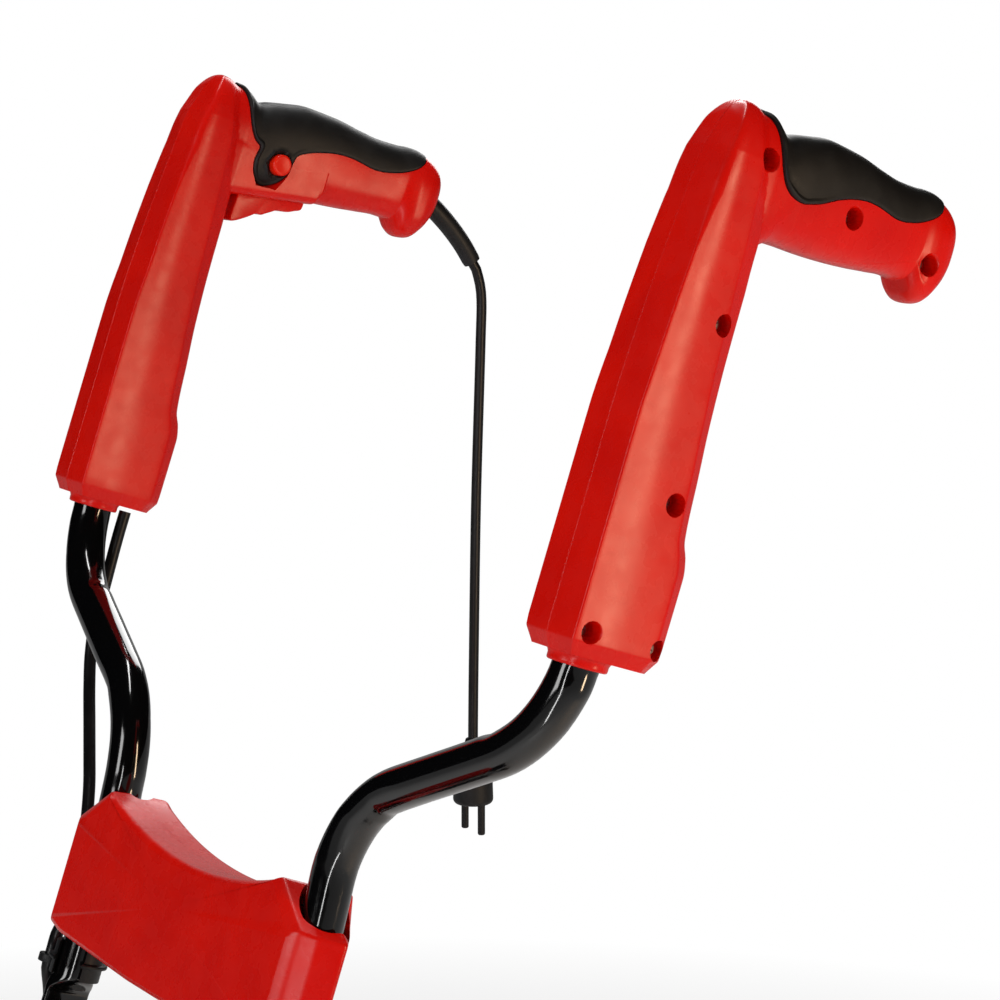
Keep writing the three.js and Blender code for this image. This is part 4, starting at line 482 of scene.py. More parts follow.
def carve(piece, *tools, how="DIFFERENCE"):
    """Takes tools out of a piece; the exact solver stands in where the fast one changes nothing."""
    for tool in tools:
        for solver in ("MANIFOLD", "EXACT"):
            before = len(piece.data.vertices), len(piece.data.polygons)
            change = piece.modifiers.new("carve", "BOOLEAN")
            change.operation, change.solver, change.object = how, solver, tool
            applied(piece)
            if before != (len(piece.data.vertices), len(piece.data.polygons)):
                break
        bpy.data.objects.remove(tool)
    return piece


def merge(piece, *others):
    return carve(piece, *others, how="UNION")


def moved(piece, matrix):
    piece.data.transform(matrix)
    if matrix.determinant() < 0:
        face_outwards(piece)
    return piece


def fit(piece, finish, where, *nodes, body=None, crisp=32):
    """Puts a finished piece into the model: place, finish, body, and the nodes it stands for."""
    piece.data.transform(Matrix.Scale(MM, 4) @ where)
    face_outwards(piece, 1e-8)
    piece.data.shade_smooth()
    piece.data.set_sharp_from_angle(angle=math.radians(crisp))
    piece.data.materials.clear()
    piece.data.materials.append(finish.material)
    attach(piece, body or node_body[nodes[0]])
    if nodes:
        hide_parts(*nodes)
    return piece


def cubic(y, tangent, step, k, t):
    """Points at shares t of the spans k of a cubic curve with given tangents."""
    return (
        y[k] * (1 + 2 * t) * (1 - t) ** 2
        + step * tangent[k] * t * (1 - t) ** 2
        + y[k + 1] * t * t * (3 - 2 * t)
        + step * tangent[k + 1] * t * t * (t - 1)
    )


def smooth_rows(keys, table, at):
    """Monotone cubic curves through the rows of a table, read at any heights."""
    x, y = np.array(keys, float), np.array(table, float)
    at = np.clip(np.asarray(at, float), x[0], x[-1])
    step = np.diff(x)[:, None]
    slope = np.diff(y, axis=0) / step
    tangent = np.zeros_like(y)
    tangent[0], tangent[-1] = slope[0], slope[-1]
    before, after = slope[:-1], slope[1:]
    same = before * after > 1e-12
    near, far = 2 * step[1:] + step[:-1], step[1:] + 2 * step[:-1]
    safe_before, safe_after = np.where(same, before, 1), np.where(same, after, 1)
    tangent[1:-1] = np.where(same, (near + far) / (near / safe_before + far / safe_after), 0)
    k = np.clip(np.searchsorted(x, at, "right") - 1, 0, len(x) - 2)
    t = ((at - x[k]) / step[k, 0])[:, None]
    return cubic(y, tangent, step[k], k, t)


def travelled(points):
    """Distance along a path, at each of its points."""
    return np.concatenate([[0], np.cumsum(np.linalg.norm(np.diff(points, axis=0), axis=1))])


def evenly(points, count):
    """A number of evenly spaced points on a path."""
    run = travelled(points)
    even = np.linspace(0, run[-1], count)
    return np.stack([np.interp(even, run, column) for column in points.T], 1)


def along_path(points):
    """Unit directions along a path."""
    along = np.gradient(points, axis=0)
    return along / np.linalg.norm(along, axis=1)[:, None]


def curve_through(points, spacing):
    """Points about spacing apart on a smooth curve through the given ones."""
    points = np.asarray(points, float)
    run = np.concatenate([[0], np.cumsum(np.linalg.norm(np.diff(points, axis=0), axis=1) ** 0.5)])
    fine = np.linspace(0, run[-1], 40 * len(points))
    count = len(points)
    slopes = np.zeros_like(points)
    slopes[1:-1] = (points[2:] - points[:-2]) / (run[2:] - run[:-2])[:, None]
    slopes[0] = (points[1] - points[0]) / (run[1] - run[0])
    slopes[-1] = (points[-1] - points[-2]) / (run[-1] - run[-2])
    k = np.clip(np.searchsorted(run, fine, "right") - 1, 0, count - 2)
    h = (run[k + 1] - run[k])[:, None]
    t = ((fine - run[k]) / h[:, 0])[:, None]
    dense = cubic(points, slopes, h, k, t)
    return evenly(dense, max(2, int(round(travelled(dense)[-1] / spacing)) + 1))


def rings_along(points, radii, sides):
    """Round rings across a path; the frame is carried along without twist."""
    across = np.array((1, 0, 0), float)
    angles = full_turn(sides)
    rings = []
    for point, way, radius in zip(points, along_path(points), radii):
        across = across - way * across.dot(way)
        across /= np.linalg.norm(across)
        other = np.cross(way, across)
        rings.append(
            point + radius * (np.outer(np.cos(angles), across) + np.outer(np.sin(angles), other))
        )
    return rings


# ---------------------------------------------------------------- geometry nodes


def node_group(name, inputs):
    """An empty geometry tree with named inputs, and the function that adds nodes to it."""
    group = bpy.data.node_groups.new(name, "GeometryNodeTree")
    face = group.interface
    face.new_socket("Geometry", in_out="INPUT", socket_type="NodeSocketGeometry")
    for label, kind in inputs:
        face.new_socket(label, in_out="INPUT", socket_type="NodeSocket" + kind)
    face.new_socket("Geometry", in_out="OUTPUT", socket_type="NodeSocketGeometry")
    entry = group.nodes.new("NodeGroupInput")
    leave = group.nodes.new("NodeGroupOutput")

    def add(kind, sockets, **settings):
        made = group.nodes.new(kind)
        for key, value in settings.items():
            setattr(made, key, value)
        for key, value in sockets.items():
            if isinstance(value, bpy.types.NodeSocket):
                group.links.new(value, made.inputs[key])
            else:
                made.inputs[key].default_value = value
        return made

    def finish(result, material):
        real = add("GeometryNodeRealizeInstances", {0: result})
        coat = add("GeometryNodeSetMaterial", {0: real.outputs[0], "Material": material})
        group.links.new(coat.outputs[0], leave.inputs[0])

    return group, entry.outputs, add, finish


def copies_tree():
    """Copies of one piece on the points of a mesh, each turned from the one before."""
    group, given, add, finish = node_group(
        "copies_on_points",
        [("Piece", "Object"), ("Turn", "Vector"), ("Material", "Material")],
    )
    info = add("GeometryNodeObjectInfo", {"Object": given["Piece"]})
    index = add("GeometryNodeInputIndex", {})
    turn = add(
        "ShaderNodeVectorMath",
        {0: given["Turn"], "Scale": index.outputs[0]},
        operation="SCALE",
    )
    spots = add("GeometryNodeMeshToPoints", {"Mesh": given["Geometry"]})
    copies = add(
        "GeometryNodeInstanceOnPoints",
        {
            "Points": spots.outputs[0],
            "Instance": info.outputs["Geometry"],
            "Rotation": turn.outputs[0],
        },
    )
    finish(copies.outputs[0], given["Material"])
    return group


def tube_tree():
    """A round tube of a given radius along a path of edges."""
    group, given, add, finish = node_group(
        "tube_on_path",
        [("Radius", "Float"), ("Sides", "Int"), ("Material", "Material")],
    )
    path = add("GeometryNodeMeshToCurve", {0: given["Geometry"]})
    ring = add(
        "GeometryNodeCurvePrimitiveCircle",
        {"Resolution": given["Sides"], "Radius": given["Radius"]},
    )
    skin = add(
        "GeometryNodeCurveToMesh",
        {"Curve": path.outputs[0], "Profile Curve": ring.outputs[0], "Fill Caps": True},
    )
    finish(skin.outputs[0], given["Material"])
    return group


COPIES = copies_tree()
TUBE = tube_tree()


def grown(name, points, edges, group, **inputs):
    """Runs a geometry tree on bare points or a path, and keeps its plain mesh."""
    shape = bpy.data.meshes.new(name)
    shape.from_pydata(np.asarray(points, float).tolist(), edges, [])
    piece = linked(name, shape)
    change = piece.modifiers.new("nodes", "NODES")
    change.node_group = group
    for item in group.interface.items_tree:
        if item.item_type == "SOCKET" and item.in_out == "INPUT" and item.name in inputs:
            change[item.identifier] = inputs[item.name]
    return applied(piece)


def copies(name, piece, points, finish, turn=(0, 0, 0)):
    """One mesh of a small part repeated on points; the part itself is removed."""
    made = grown(name, points, [], COPIES, Piece=piece, Turn=turn, Material=finish.material)
    bpy.data.objects.remove(piece)
    return made


def tube_along(name, points, radius, finish, sides):
    edges = [(i, i + 1) for i in range(len(points) - 1)]
    return grown(name, points, edges, TUBE, Radius=radius, Sides=sides, Material=finish.material)


# ---------------------------------------------------------------- handle arms

# Height up the arm, then the front seam, the rear face, half the width and the rear crease
ARM_ROWS = [
    (4.6, -17.4, 30.0, 16.6, 22.6),
    (11.4, -21.3, 34.0, 19.6, 25.2),
    (16.0, -21.5, 34.2, 20.0, 25.6),
    (49.8, -21.5, 34.5, 20.0, 25.4),
    (58.0, -21.5, 32.9, 20.0, 23.6),
    (66.1, -21.5, 29.5, 20.0, 20.8),
    (95.0, -21.5, 26.9, 20.0, 18.0),
    (119.9, -21.4, 24.9, 20.0, 15.8),
    (150.0, -20.2, 23.8, 19.9, 13.7),
    (199.9, -16.5, 23.4, 19.7, 11.4),
    (215.1, -15.1, 21.6, 19.6, 10.6),
    (227.9, -13.8, 19.7, 19.3, 9.7),
    (237.0, -12.2, 17.9, 18.7, 8.2),
    (245.0, -9.2, 16.0, 17.2, 6.4),
    (251.5, -7.0, 14.4, 15.0, 5.4),
    (256.5, -4.6, 12.2, 12.2, 5.2),
    (260.0, -2.4, 9.8, 9.2, 4.6),
    (262.3, -0.2, 7.4, 6.0, 3.6),
]
ARM_BEND_UP = 16.0
ARM_HEAD_UP = 237.0
ARM_CREASE_HALF = 0.962
ARM_BACK_HALF = 0.7
ARM_SKIN = 0.55
PARTING = 0.1
SEAM_BEAD = 0.16


def arm_values(up):
    """Rows of the arm at any heights: straight in the chamfer, then curved up to the head."""
    up = np.atleast_1d(np.asarray(up, float))
    keys = [row[0] for row in ARM_ROWS]
    table = [row[1:] for row in ARM_ROWS]
    split = keys.index(ARM_HEAD_UP)
    low = np.stack([np.interp(up, keys[:3], [row[i] for row in table[:3]]) for i in range(4)], 1)
    middle = smooth_rows(keys[2 : split + 1], table[2 : split + 1], up)
    head = smooth_rows(keys[split:], table[split:], up)
    out = np.where((up < ARM_BEND_UP)[:, None], low, middle)
    return np.where((up > ARM_HEAD_UP)[:, None], head, out)


def arm_section(values, up, grow=0.0):
    """One outline across the arm: a shallow V in front, edges that soften towards the head."""
    front, rear, half, crease = values
    front, rear, half = front - grow, rear + grow, half + grow
    v_depth = np.interp(up, [0, 116, 140, 237, 262], [1.5, 1.7, 2.6, 2.6, 1.0]) * half / 20
    soft = np.interp(up, [0, 190, 212, 228, 240, 262], [0.8, 0.9, 3.0, 6.5, 9.0, 9.0]) * half / 20
    middle = front + 0.42 * (crease - front)
    side = [
        (0, front - SEAM_BEAD, 0.1),
        (0.3, front - SEAM_BEAD + 0.02, 0.1),
        (0.5, front + 0.05, 0.1),
        (0.93 * half, front + v_depth, soft),
        (half, middle, 9),
        (ARM_CREASE_HALF * half, crease, np.interp(up, [0, 150, 237, 262], [1.4, 0.7, 0.5, 1.5])),
        (ARM_BACK_HALF * half, rear - 0.7, 2.2),
        (0, rear, 3.0),
    ]
    corners = [(x, y) for x, y, _ in side] + [(-x, y) for x, y, _ in side[-2:0:-1]]
    radii = [r for _, _, r in side] + [r for _, _, r in side[-2:0:-1]]
    ring = split_sides(eased_ring(corners, radii, 5), 6)
    return np.stack([ring[:, 0], ring[:, 1], np.full(len(ring), up)], 1)


def arm_loft(name, grow=0.0):
    """The arm's body; each row is the mean of three close ones, which softens the bends."""
    rows = np.concatenate(
        [
            np.linspace(4.6, 10.6, 5),
            np.linspace(11, 12, 4),
            np.linspace(13, 235.5, 140),
            np.linspace(236.4, 237.6, 5),
            np.linspace(238.4, 262.3, 26),
        ]
    )
    spread = 0.45
    values = (arm_values(rows - spread) + arm_values(rows) + arm_values(rows + spread)) / 3
    rings = [arm_section(value, up, grow) for value, up in zip(values, rows)]
    top = rings[-1]
    for share, lift in ((0.75, 0.35), (0.4, 0.6)):
        ring = top.mean(0) + (top - top.mean(0)) * share
        ring[:, 2] = top[0, 2] + lift
        rings.append(ring)
    return loft(name, rings)


# ---------------------------------------------------------------- grips

GRIP_UP = 233.0
# Distance back along the grip, then its top and underside from the axis, and half its width
GRIP_ROWS = [
    (-6.4, 23.1, 41.0, 14.4),
    (7.4, 26.7, 41.0, 15.0),
    (18.6, 25.5, 37.6, 15.4),
    (27.6, 20.4, 31.4, 15.8),
    (34.5, 22.6, 27.6, 16.2),
    (43.0, 24.6, 26.6, 16.5),
    (58.0, 27.2, 26.0, 16.5),
    (76.0, 26.8, 24.7, 16.1),
    (94.0, 24.7, 22.6, 15.4),
    (107.0, 23.6, 20.6, 14.9),
    (120.0, 24.2, 18.9, 14.7),
    (126.4, 25.2, 18.9, 15.0),
    (127.8, 25.3, 20.8, 15.3),
    (131.5, 25.5, 25.2, 16.3),
    (136.0, 24.9, 27.2, 17.0),
    (141.0, 23.5, 26.4, 16.9),
    (146.0, 20.8, 21.0, 15.6),
    (149.6, 17.2, 14.0, 12.8),
    (152.0, 12.4, 6.3, 8.4),
    (153.4, 7.6, 1.0, 4.0),
]
SQUARENESS = 2.5
TOE = 0.128
TOE_START = 20


def toe(back):
    """How far the grip leans sideways at a distance back."""
    return -TOE * np.maximum(0, np.asarray(back, float) - TOE_START)


def grip_values(back):
    return smooth_rows([row[0] for row in GRIP_ROWS], [row[1:] for row in GRIP_ROWS], back)


def oval(angle, half, tall):
    """Across and up, on the grip's squarish oval."""
    power = 2 / SQUARENESS
    return half * squared(np.cos(angle), power), tall * squared(np.sin(angle), power)


def grip_spot(back, angle, proud=0.0):
    """Points on the grip's skin; angle 90 degrees is the crest, 0 the outer side."""
    top, under, half = grip_values(back).T
    x, z = oval(angle, half + proud, (top + under) / 2 + proud)
    return np.stack([toe(back) + x, back, GRIP_UP + (top - under) / 2 + z], 1)


def grip_loft(name, backs, sides, proud=0.0):
    angles = full_turn(sides)
    return loft(name, [grip_spot(np.full(sides, back), angles, proud) for back in backs])


GRIP_BACKS = np.concatenate([
    np.linspace(-6, 124, 100), np.linspace(124.8, 133, 15), np.linspace(134, 143, 9),
    153.4 - 9.8 * np.cos(np.linspace(0.05, 1.5, 14)) ** 1.6,
])


# The soft pad's lower edge, seen from the side: distance back and height
PAD_EDGE = [
    (11.6, 260.2), (13.4, 259.4), (15.5, 257), (17.9, 251.5), (19.6, 246), (21.5, 240),
    (23.8, 235), (26.5, 231.2), (30, 228.6), (34.5, 227), (40, 226.6), (45.5, 228),
    (51.5, 230), (61, 234.6), (71, 238), (80, 239.8), (88.5, 240), (95.5, 239.2),
    (103, 238.3), (110.5, 238.9), (119, 241.2), (126.5, 244.6), (132, 248.6), (135.6, 252.8),
    (137.2, 255.6), (137.6, 257.2),
]
# On the right grip's inner side the pad runs down round the lock-off button
PAD_COLLAR = [
    (29.6, 224.5), (29, 220), (30.6, 213.6), (35, 209.3), (40, 208.3), (45.5, 210.2),
    (49.8, 214.4), (51.9, 220), (52.4, 226), (54.2, 230.8),
]
COLLAR_FROM, COLLAR_TO = 30, 61
BUTTON_BACK, BUTTON_UP = 45.0, 222.0
BUTTON_RADIUS = 6.3


def unroll(backs, ups):
    """Distance over the skin from the crest down to a height, for points seen from the side."""
    top, under, half = grip_values(backs).T
    tall = (top + under) / 2
    share = np.clip((np.asarray(ups) - GRIP_UP - (top - under) / 2) / tall, -0.999, 0.999)
    angle = np.arcsin(squared(share, SQUARENESS / 2))
    steps = np.linspace(0, 1, 60)[None, :]
    angles = np.pi / 2 + (angle - np.pi / 2)[:, None] * steps
    x, z = oval(angles, half[:, None], tall[:, None])
    return np.sum(np.hypot(np.diff(x, axis=1), np.diff(z, axis=1)), axis=1)


def roll(flat, proud):
    """Flat pad points, distance back and over the skin, onto the grip, proud of its skin."""
    back, run = flat[:, 0], flat[:, 1]
    top, under, half = grip_values(back).T
    tall = (top + under) / 2
    angles = np.linspace(np.pi / 2, -np.pi / 2, 120)
    x, z = oval(angles[None, :], half[:, None], tall[:, None])
    steps = np.cumsum(np.hypot(np.diff(x, axis=1), np.diff(z, axis=1)), axis=1)
    lengths = np.concatenate([np.zeros((len(back), 1)), steps], 1)
    angle = np.array([np.interp(abs(r), row, angles) for r, row in zip(run, lengths)])
    angle = np.where(run < 0, np.pi - angle, angle)
    here = grip_spot(back, angle)
    ahead = grip_spot(back + 0.4, angle) - grip_spot(back - 0.4, angle)
    about = grip_spot(back, angle + 0.02) - grip_spot(back, angle - 0.02)
    normal = np.cross(about, ahead)
    normal /= np.linalg.norm(normal, axis=1)[:, None]
    middle = np.stack([toe(back), back, np.full(len(back), GRIP_UP)], 1)
    normal *= np.sign(np.sum(normal * (here - middle), axis=1))[:, None]
    return here + normal * np.asarray(proud)[:, None]


def pad_outline(collar):
    """The pad's whole edge in flat coordinates; the outer side first, then the inner side."""
    outer = inner = curve_through(PAD_EDGE, 0.8)
    if collar:
        fore = [point for point in PAD_EDGE if point[0] <= COLLAR_FROM]
        aft = [point for point in PAD_EDGE if point[0] >= COLLAR_TO]
        inner = curve_through(fore + PAD_COLLAR + aft, 0.8)
    sides = []
    for side, hand in ((outer, 1), (inner, -1)):
        run = hand * unroll(side[:, 0], side[:, 1])
        first, last = side[0, 0], side[-1, 0]
        ends = (np.array([[first - 0.4, 0]]), np.array([[last + 0.5, 0]]))
        sides.append((np.stack([side[:, 0], run], 1), ends))
    (right, (front, rear)), (left, _) = sides
    loop = np.concatenate([front, right, rear, left[::-1]])
    step = np.linalg.norm(np.diff(np.concatenate([loop, loop[:1]]), axis=0), axis=1)
    return loop[step > 0.05]


def to_loop(points, loop):
    """Distance from points to a closed loop, positive inside."""
    after = np.roll(loop, -1, axis=0)
    way = after - loop
    square = np.sum(way * way, axis=1)
    gap = points[:, None, :] - loop[None, :, :]
    t = np.clip(np.sum(gap * way[None], axis=2) / square, 0, 1)
    off = gap - t[..., None] * way[None]
    away = np.sum(off * off, axis=2)
    crossing = (loop[None, :, 1] > points[:, None, 1]) != (after[None, :, 1] > points[:, None, 1])
    slope = np.where(np.abs(way[:, 1]) < 1e-9, 1e-9, way[:, 1])
    cut = loop[None, :, 0] + (points[:, None, 1] - loop[None, :, 1]) * (way[:, 0] / slope)[None]
    inside = np.sum(crossing & (points[:, None, 0] < cut), axis=1) % 2 == 1
    return np.sqrt(away.min(1)) * np.where(inside, 1, -1)


def offset_loop(loop, distance):
    """A closed loop moved inwards, without the points that come too near to its edge."""
    along = np.roll(loop, -1, axis=0) - np.roll(loop, 1, axis=0)
    along /= np.linalg.norm(along, axis=1)[:, None]
    x, y = loop.T
    area = 0.5 * np.sum(x * np.roll(y, -1) - np.roll(x, -1) * y)
    inward = np.stack([-along[:, 1], along[:, 0]], 1) * np.sign(area)
    shifted = loop + inward * distance
    return shifted[to_loop(shifted, loop) * np.sign(distance) > abs(distance) * 0.93]


def skin_patch(name, loop, inner_loops, outer_height, inner_height, holes=(), spacing=1.9):
    """A body over the grip's skin inside a loop; heights depend on the distance to the edge."""
    low, high = loop.min(0), loop.max(0)
    columns = np.arange(low[0], high[0], spacing)
    rows = np.arange(low[1], high[1], spacing * 0.866)
    grid = np.array([(x + (spacing / 2) * (k % 2), y) for k, y in enumerate(rows) for x in columns])
    clear = max([0, *inner_loops]) + spacing * 0.6
    grid = grid[to_loop(grid, loop) > clear]
    for hole in holes:
        grid = grid[to_loop(grid, hole) < -spacing * 0.6]
    points, edges = [], []

    def add_loop(ring):
        start = len(points)
        points.extend(ring.tolist())
        edges.extend((start + i, start + (i + 1) % len(ring)) for i in range(len(ring)))

    add_loop(loop)
    for hole in holes:
        add_loop(hole)
    for distance in inner_loops:
        points.extend(offset_loop(loop, distance).tolist())
    points.extend(grid.tolist())
    flat, _, faces, *_ = delaunay_2d_cdt([Vector(p) for p in points], edges, [], 1, 1e-5)
    flat = np.array([tuple(p) for p in flat])
    if holes:
        centres = np.array([flat[list(face)].mean(0) for face in faces])
        keep = np.ones(len(faces), bool)
        for hole in holes:
            keep &= to_loop(centres, hole) < 0
        faces = [face for face, good in zip(faces, keep) if good]
    reach = np.maximum(to_loop(flat, loop), 0)
    for hole in holes:
        reach = np.minimum(reach, np.maximum(-to_loop(flat, hole), 0))
    count = len(flat)
    outer = roll(flat, outer_height(reach, flat))
    inner = roll(flat, inner_height(reach, flat))
    sides = {}
    for face in faces:
        for edge in zip(face, [*face[1:], face[0]]):
            if edge[::-1] in sides:
                del sides[edge[::-1]]
            else:
                sides[edge] = True
    skins = [tuple(face) for face in faces]
    skins += [tuple(count + v for v in face[::-1]) for face in faces]
    skins += [(b, a, count + a, count + b) for a, b in sides]
    return new_piece(name, np.concatenate([outer, inner]), skins)


# Height over the skin by the distance from the pad's edge
PAD_CROWN = [
    (0, -0.3), (0.06, 0), (0.25, 0.42), (0.6, 0.66), (1.2, 0.8), (3, 0.85), (9, 1.05), (20, 1.2),
]
PAD_BEAD = [
    (0, -0.3), (0.06, 0.5), (0.3, 1.35), (0.8, 1.9), (1.3, 2.0), (1.9, 1.7), (2.4, 0.95),
    (2.8, 0.55), (3.4, 0.7), (4.5, 0.85),
]


def pad_height(reach, flat):
    """The pad's skin: a tight round edge, a bead along its front, then a soft crown."""
    plain = np.interp(reach, *zip(*PAD_CROWN))
    bead = np.interp(reach, *zip(*PAD_BEAD))
    share = np.interp(flat[:, 0], [10, 30, 44, 60], [1, 1, 0.55, 0])
    return plain + np.maximum(bead - plain, -0.4) * share


def circle_loop(back, up, radius, hand, count=48):
    """A round hole seen from the side, in flat coordinates."""
    angles = full_turn(count)
    backs, ups = back + radius * np.cos(angles), up + radius * np.sin(angles)
    return np.stack([backs, hand * unroll(backs, ups)], 1)


def level(height):
    """A height that is the same all over a patch."""
    return lambda reach, flat: np.full(len(reach), height)


def grip_pad(name, collar):
    room = BUTTON_RADIUS + 0.35
    holes = [circle_loop(BUTTON_BACK, BUTTON_UP, room, -1)] if collar else []
    inner = 0.06, 0.25, 0.6, 1.2, 1.9, 2.6, 3.2
    return skin_patch(name, pad_outline(collar), inner, pad_height, level(-2.4), holes, 1.7)


def pad_seat(name, collar):
    """The tool for the pad's seat, a little wider and deeper than the pad."""
    loop = offset_loop(pad_outline(collar), -0.3)
    return skin_patch(name, loop, (), level(6.0), level(-2.7), (), 2.4)


# ---------------------------------------------------------------- arm pieces

# Screw recesses seen from the side: distance back and height
ARM_RECESSES = [
    (14.4, 239.2), (12.4, 162), (13.6, 80), (-11.5, 16), (27.8, 16), (75.7, 230), (133.3, 224.2),
]
RECESS_RADIUS = 5.4
RECESS_DEPTH = 10
ARM_SIDE = 19.9
NECK_SIDE = 15.2


def recess_depth(back, up):
    """The outer skin's x at a recess."""
    if up < 200:
        return ARM_SIDE
    if back < 15:
        return NECK_SIDE
    top, under, half = grip_values([back])[0]
    tall = (top + under) / 2
    share = abs((up - GRIP_UP - (top - under) / 2) / tall)
    return float(toe(back)) + half * (1 - share**SQUARENESS) ** (1 / SQUARENESS)


def recess_tool(back, up):
    """A flared bore from outside, its rim rolled in."""
    face, wide = recess_depth(back, up), RECESS_RADIUS
    floor = face - RECESS_DEPTH
    profile = [
        (0, floor), (wide - 0.6, floor), (wide - 0.3, face - 1.2), (wide, face - 0.6),
        (wide + 0.45, face - 0.1), (wide + 1.2, face + 0.8), (wide + 1.2, face + 9), (0, face + 9),
    ]
    return moved(turned("recess", profile, 40), shift(0, back, up) @ ALONG_X)


def screw_heads(name, finish, where, node):
    """Cross-head screws at the foot of each recess, copied by nodes onto their spots."""
    head = turned("screw", eased([(0, 1.6), (2.9, 1.2), (3.3, 0), (0, 0)], 0.4), 20)
    slots = [slab("slot", oblong(-0.45, 0.45, -1.9, 1.9), 0.7, 3) for _ in range(2)]
    moved(head, ALONG_X)
    moved(slots[1], spin("X", 90))
    carve(head, *slots)
    spots = [(recess_depth(back, up) - RECESS_DEPTH + 0.05, back, up) for back, up in ARM_RECESSES]
    screws = copies(name, head, spots, finish, turn=(0.7, 0, 0))
    return fit(screws, finish, where, body=node_body[node])


def soften(piece, centre, size, rounds):
    """Laplacian smoothing inside an ellipsoid, fading to its rim."""
    sheet = bmesh.new()
    sheet.from_mesh(piece.data)
    picked = []
    for vertex in sheet.verts:
        off = Vector([(vertex.co[i] - centre[i]) / size[i] for i in range(3)]).length
        if off < 1:
            picked.append((vertex, min(1.0, 1.6 * (1 - off))))
    for _ in range(rounds):
        goals = [
            sum((edge.other_vert(v).co for edge in v.link_edges), Vector()) / len(v.link_edges)
            for v, _ in picked
        ]
        for (vertex, share), goal in zip(picked, goals):
            vertex.co += (goal - vertex.co) * 0.55 * share
    sheet.to_mesh(piece.data)
    sheet.free()


TRIGGER_MIDDLE = float(toe((33 + 68) / 2))
TRIGGER_HALF, POCKET_HALF = 6.5, 7.1
# The trigger seen from the side: its waved underside, then the top that stays inside the grip
TRIGGER_UNDER = [
    (28.2, 195), (27.8, 189), (28, 182.8), (31, 183.2), (36, 186.0), (40.7, 189.2), (44, 191.6),
    (47, 191.6), (50, 193.4), (53, 195.2), (57, 197.6), (60, 197.7), (64, 198.6),
    (68, 200.4), (72, 202.6), (72.6, 209),
]
TRIGGER_TOP = [(72.2, 213.5), (68, 217.2), (63, 214), (48, 203), (36, 200.6), (28.2, 199)]


def trigger_housing():
    """A square-shouldered skirt flush with the grip's sides."""
    angles = full_turn(120)
    across, tall = squared(np.cos(angles), 0.36), squared(np.sin(angles), 0.36)
    rings = []
    for back in np.concatenate([np.linspace(14, 73.5, 60), np.linspace(74, 77, 8)]):
        low = np.interp(back, [14, 73.5, 76.5, 77], [195.4, 206.6, 211.5, 215])
        half = 15.9 - max(0.0, (back - 75.6) / 1.4) ** 2 * 1.6
        middle, high = (GRIP_UP + low) / 2, (GRIP_UP - low) / 2
        x, z = float(toe(back)) + half * across, middle + high * tall
        rings.append(np.stack([x, np.full(120, back), z], 1))
    return loft("housing", rings)


# Centre and reach of the ellipsoid, rounds of smoothing
NECK_SOFTENING = (0, 24, 192), (24, 14, 16), 14
HEAD_SOFTENING = (0, 3, 263), (22, 24, 15), 26
TUBE_ROOM, LEAD_ROOM = 11.4, 4.2
# The ring at the arm's foot, round the tube
ARM_LIP = [
    (0, -0.3), (12.9, -0.3), (13.6, -0.1), (14, 0.4), (14.1, 1.2), (14.1, 2.9), (14.5, 3.8),
    (15.4, 5.6), (0, 5.6),
]


def handle_arm(name, right):
    """One arm with its grip in one piece; the mould's parting line runs round it."""
    body = arm_loft(name)
    merge(body, grip_loft("grip", GRIP_BACKS, 112))
    soften(body, *NECK_SOFTENING)
    soften(body, *HEAD_SOFTENING)
    if right:
        merge(body, trigger_housing())
    merge(body, turned("collar", ARM_LIP, 72))
    carve(body, pad_seat("seat", right))
    tools = [recess_tool(back, up) for back, up in ARM_RECESSES]
    tools.append(rod("tube_room", TUBE_ROOM, -10, 7, 64))
    if right:
        outline = [(25.2, 218), (25.2, 180), (75.5, 180), (75.5, 218)]
        sides = TRIGGER_MIDDLE - POCKET_HALF, TRIGGER_MIDDLE + POCKET_HALF
        button = rod("button_room", BUTTON_RADIUS + 0.4, 0, 40)
        relief = rings_along(RELIEF_LINE[:6], np.linspace(6.5, 6.3, 6), 40)
        tools += [
            slab("pocket", outline, *sides),
            moved(button, shift(-40, BUTTON_BACK, BUTTON_UP) @ ALONG_X),
            moved(rod("lead_room", LEAD_ROOM, -3, 12, 32), shift(-4.5, 19)),
            loft("relief_room", relief),
        ]
    carve(body, *tools)
    parting = slab("parting", oblong(-8, 200, -60, 300), -PARTING, PARTING)
    core = arm_loft("core", -ARM_SKIN)
    merge(core, grip_loft("grip_core", np.linspace(-5, 156, 50), 64, -ARM_SKIN))
    return carve(body, carve(parting, core))


RELIEF_ROUTE = [(148, 233.5), (158.8, 228.5), (170, 222.3), (181, 214.8), (190.7, 206.6)]
RELIEF_LINE = np.array([(float(toe(b)), b, u) for b, u in curve_through(RELIEF_ROUTE, 2.0)])
ARMS = ("left", LEFT_ARM, False), ("right", RIGHT_ARM, True)
for side, where, right in ARMS:
    shells = side + "_arm_outer_shell", side + "_arm_inner_shell"
    fit(handle_arm(side + "_arm", right), RED, where, *shells)
for side, where, _ in ARMS:
    screw_heads(side + "_arm_screws", STEEL, where, side + "_arm_outer_shell")
for side, where, collar in ARMS:
    pad = grip_pad(side + "_soft_grip", collar)
    carve(pad, arm_loft("head", 0.3))
    fit(pad, SOFT, where, side + "_grip_pad")

BUTTON_FACE = -16.3
BUTTON_STROKE_ROOM = 3.8
button = turned(
    "lock_button",
    eased([(0, 14.8), (6.25, 14.8), (6.25, 1.4), (5.3, 0.25), (2.6, 0.55), (0, 0.7)], 1.1, 4),
    56,
)
button_x = float(toe(BUTTON_BACK)) + BUTTON_FACE - BUTTON_STROKE_ROOM
moved(button, shift(button_x, BUTTON_BACK, BUTTON_UP) @ ALONG_X)
fit(button, BUTTON, RIGHT_ARM, "lock_off_button")

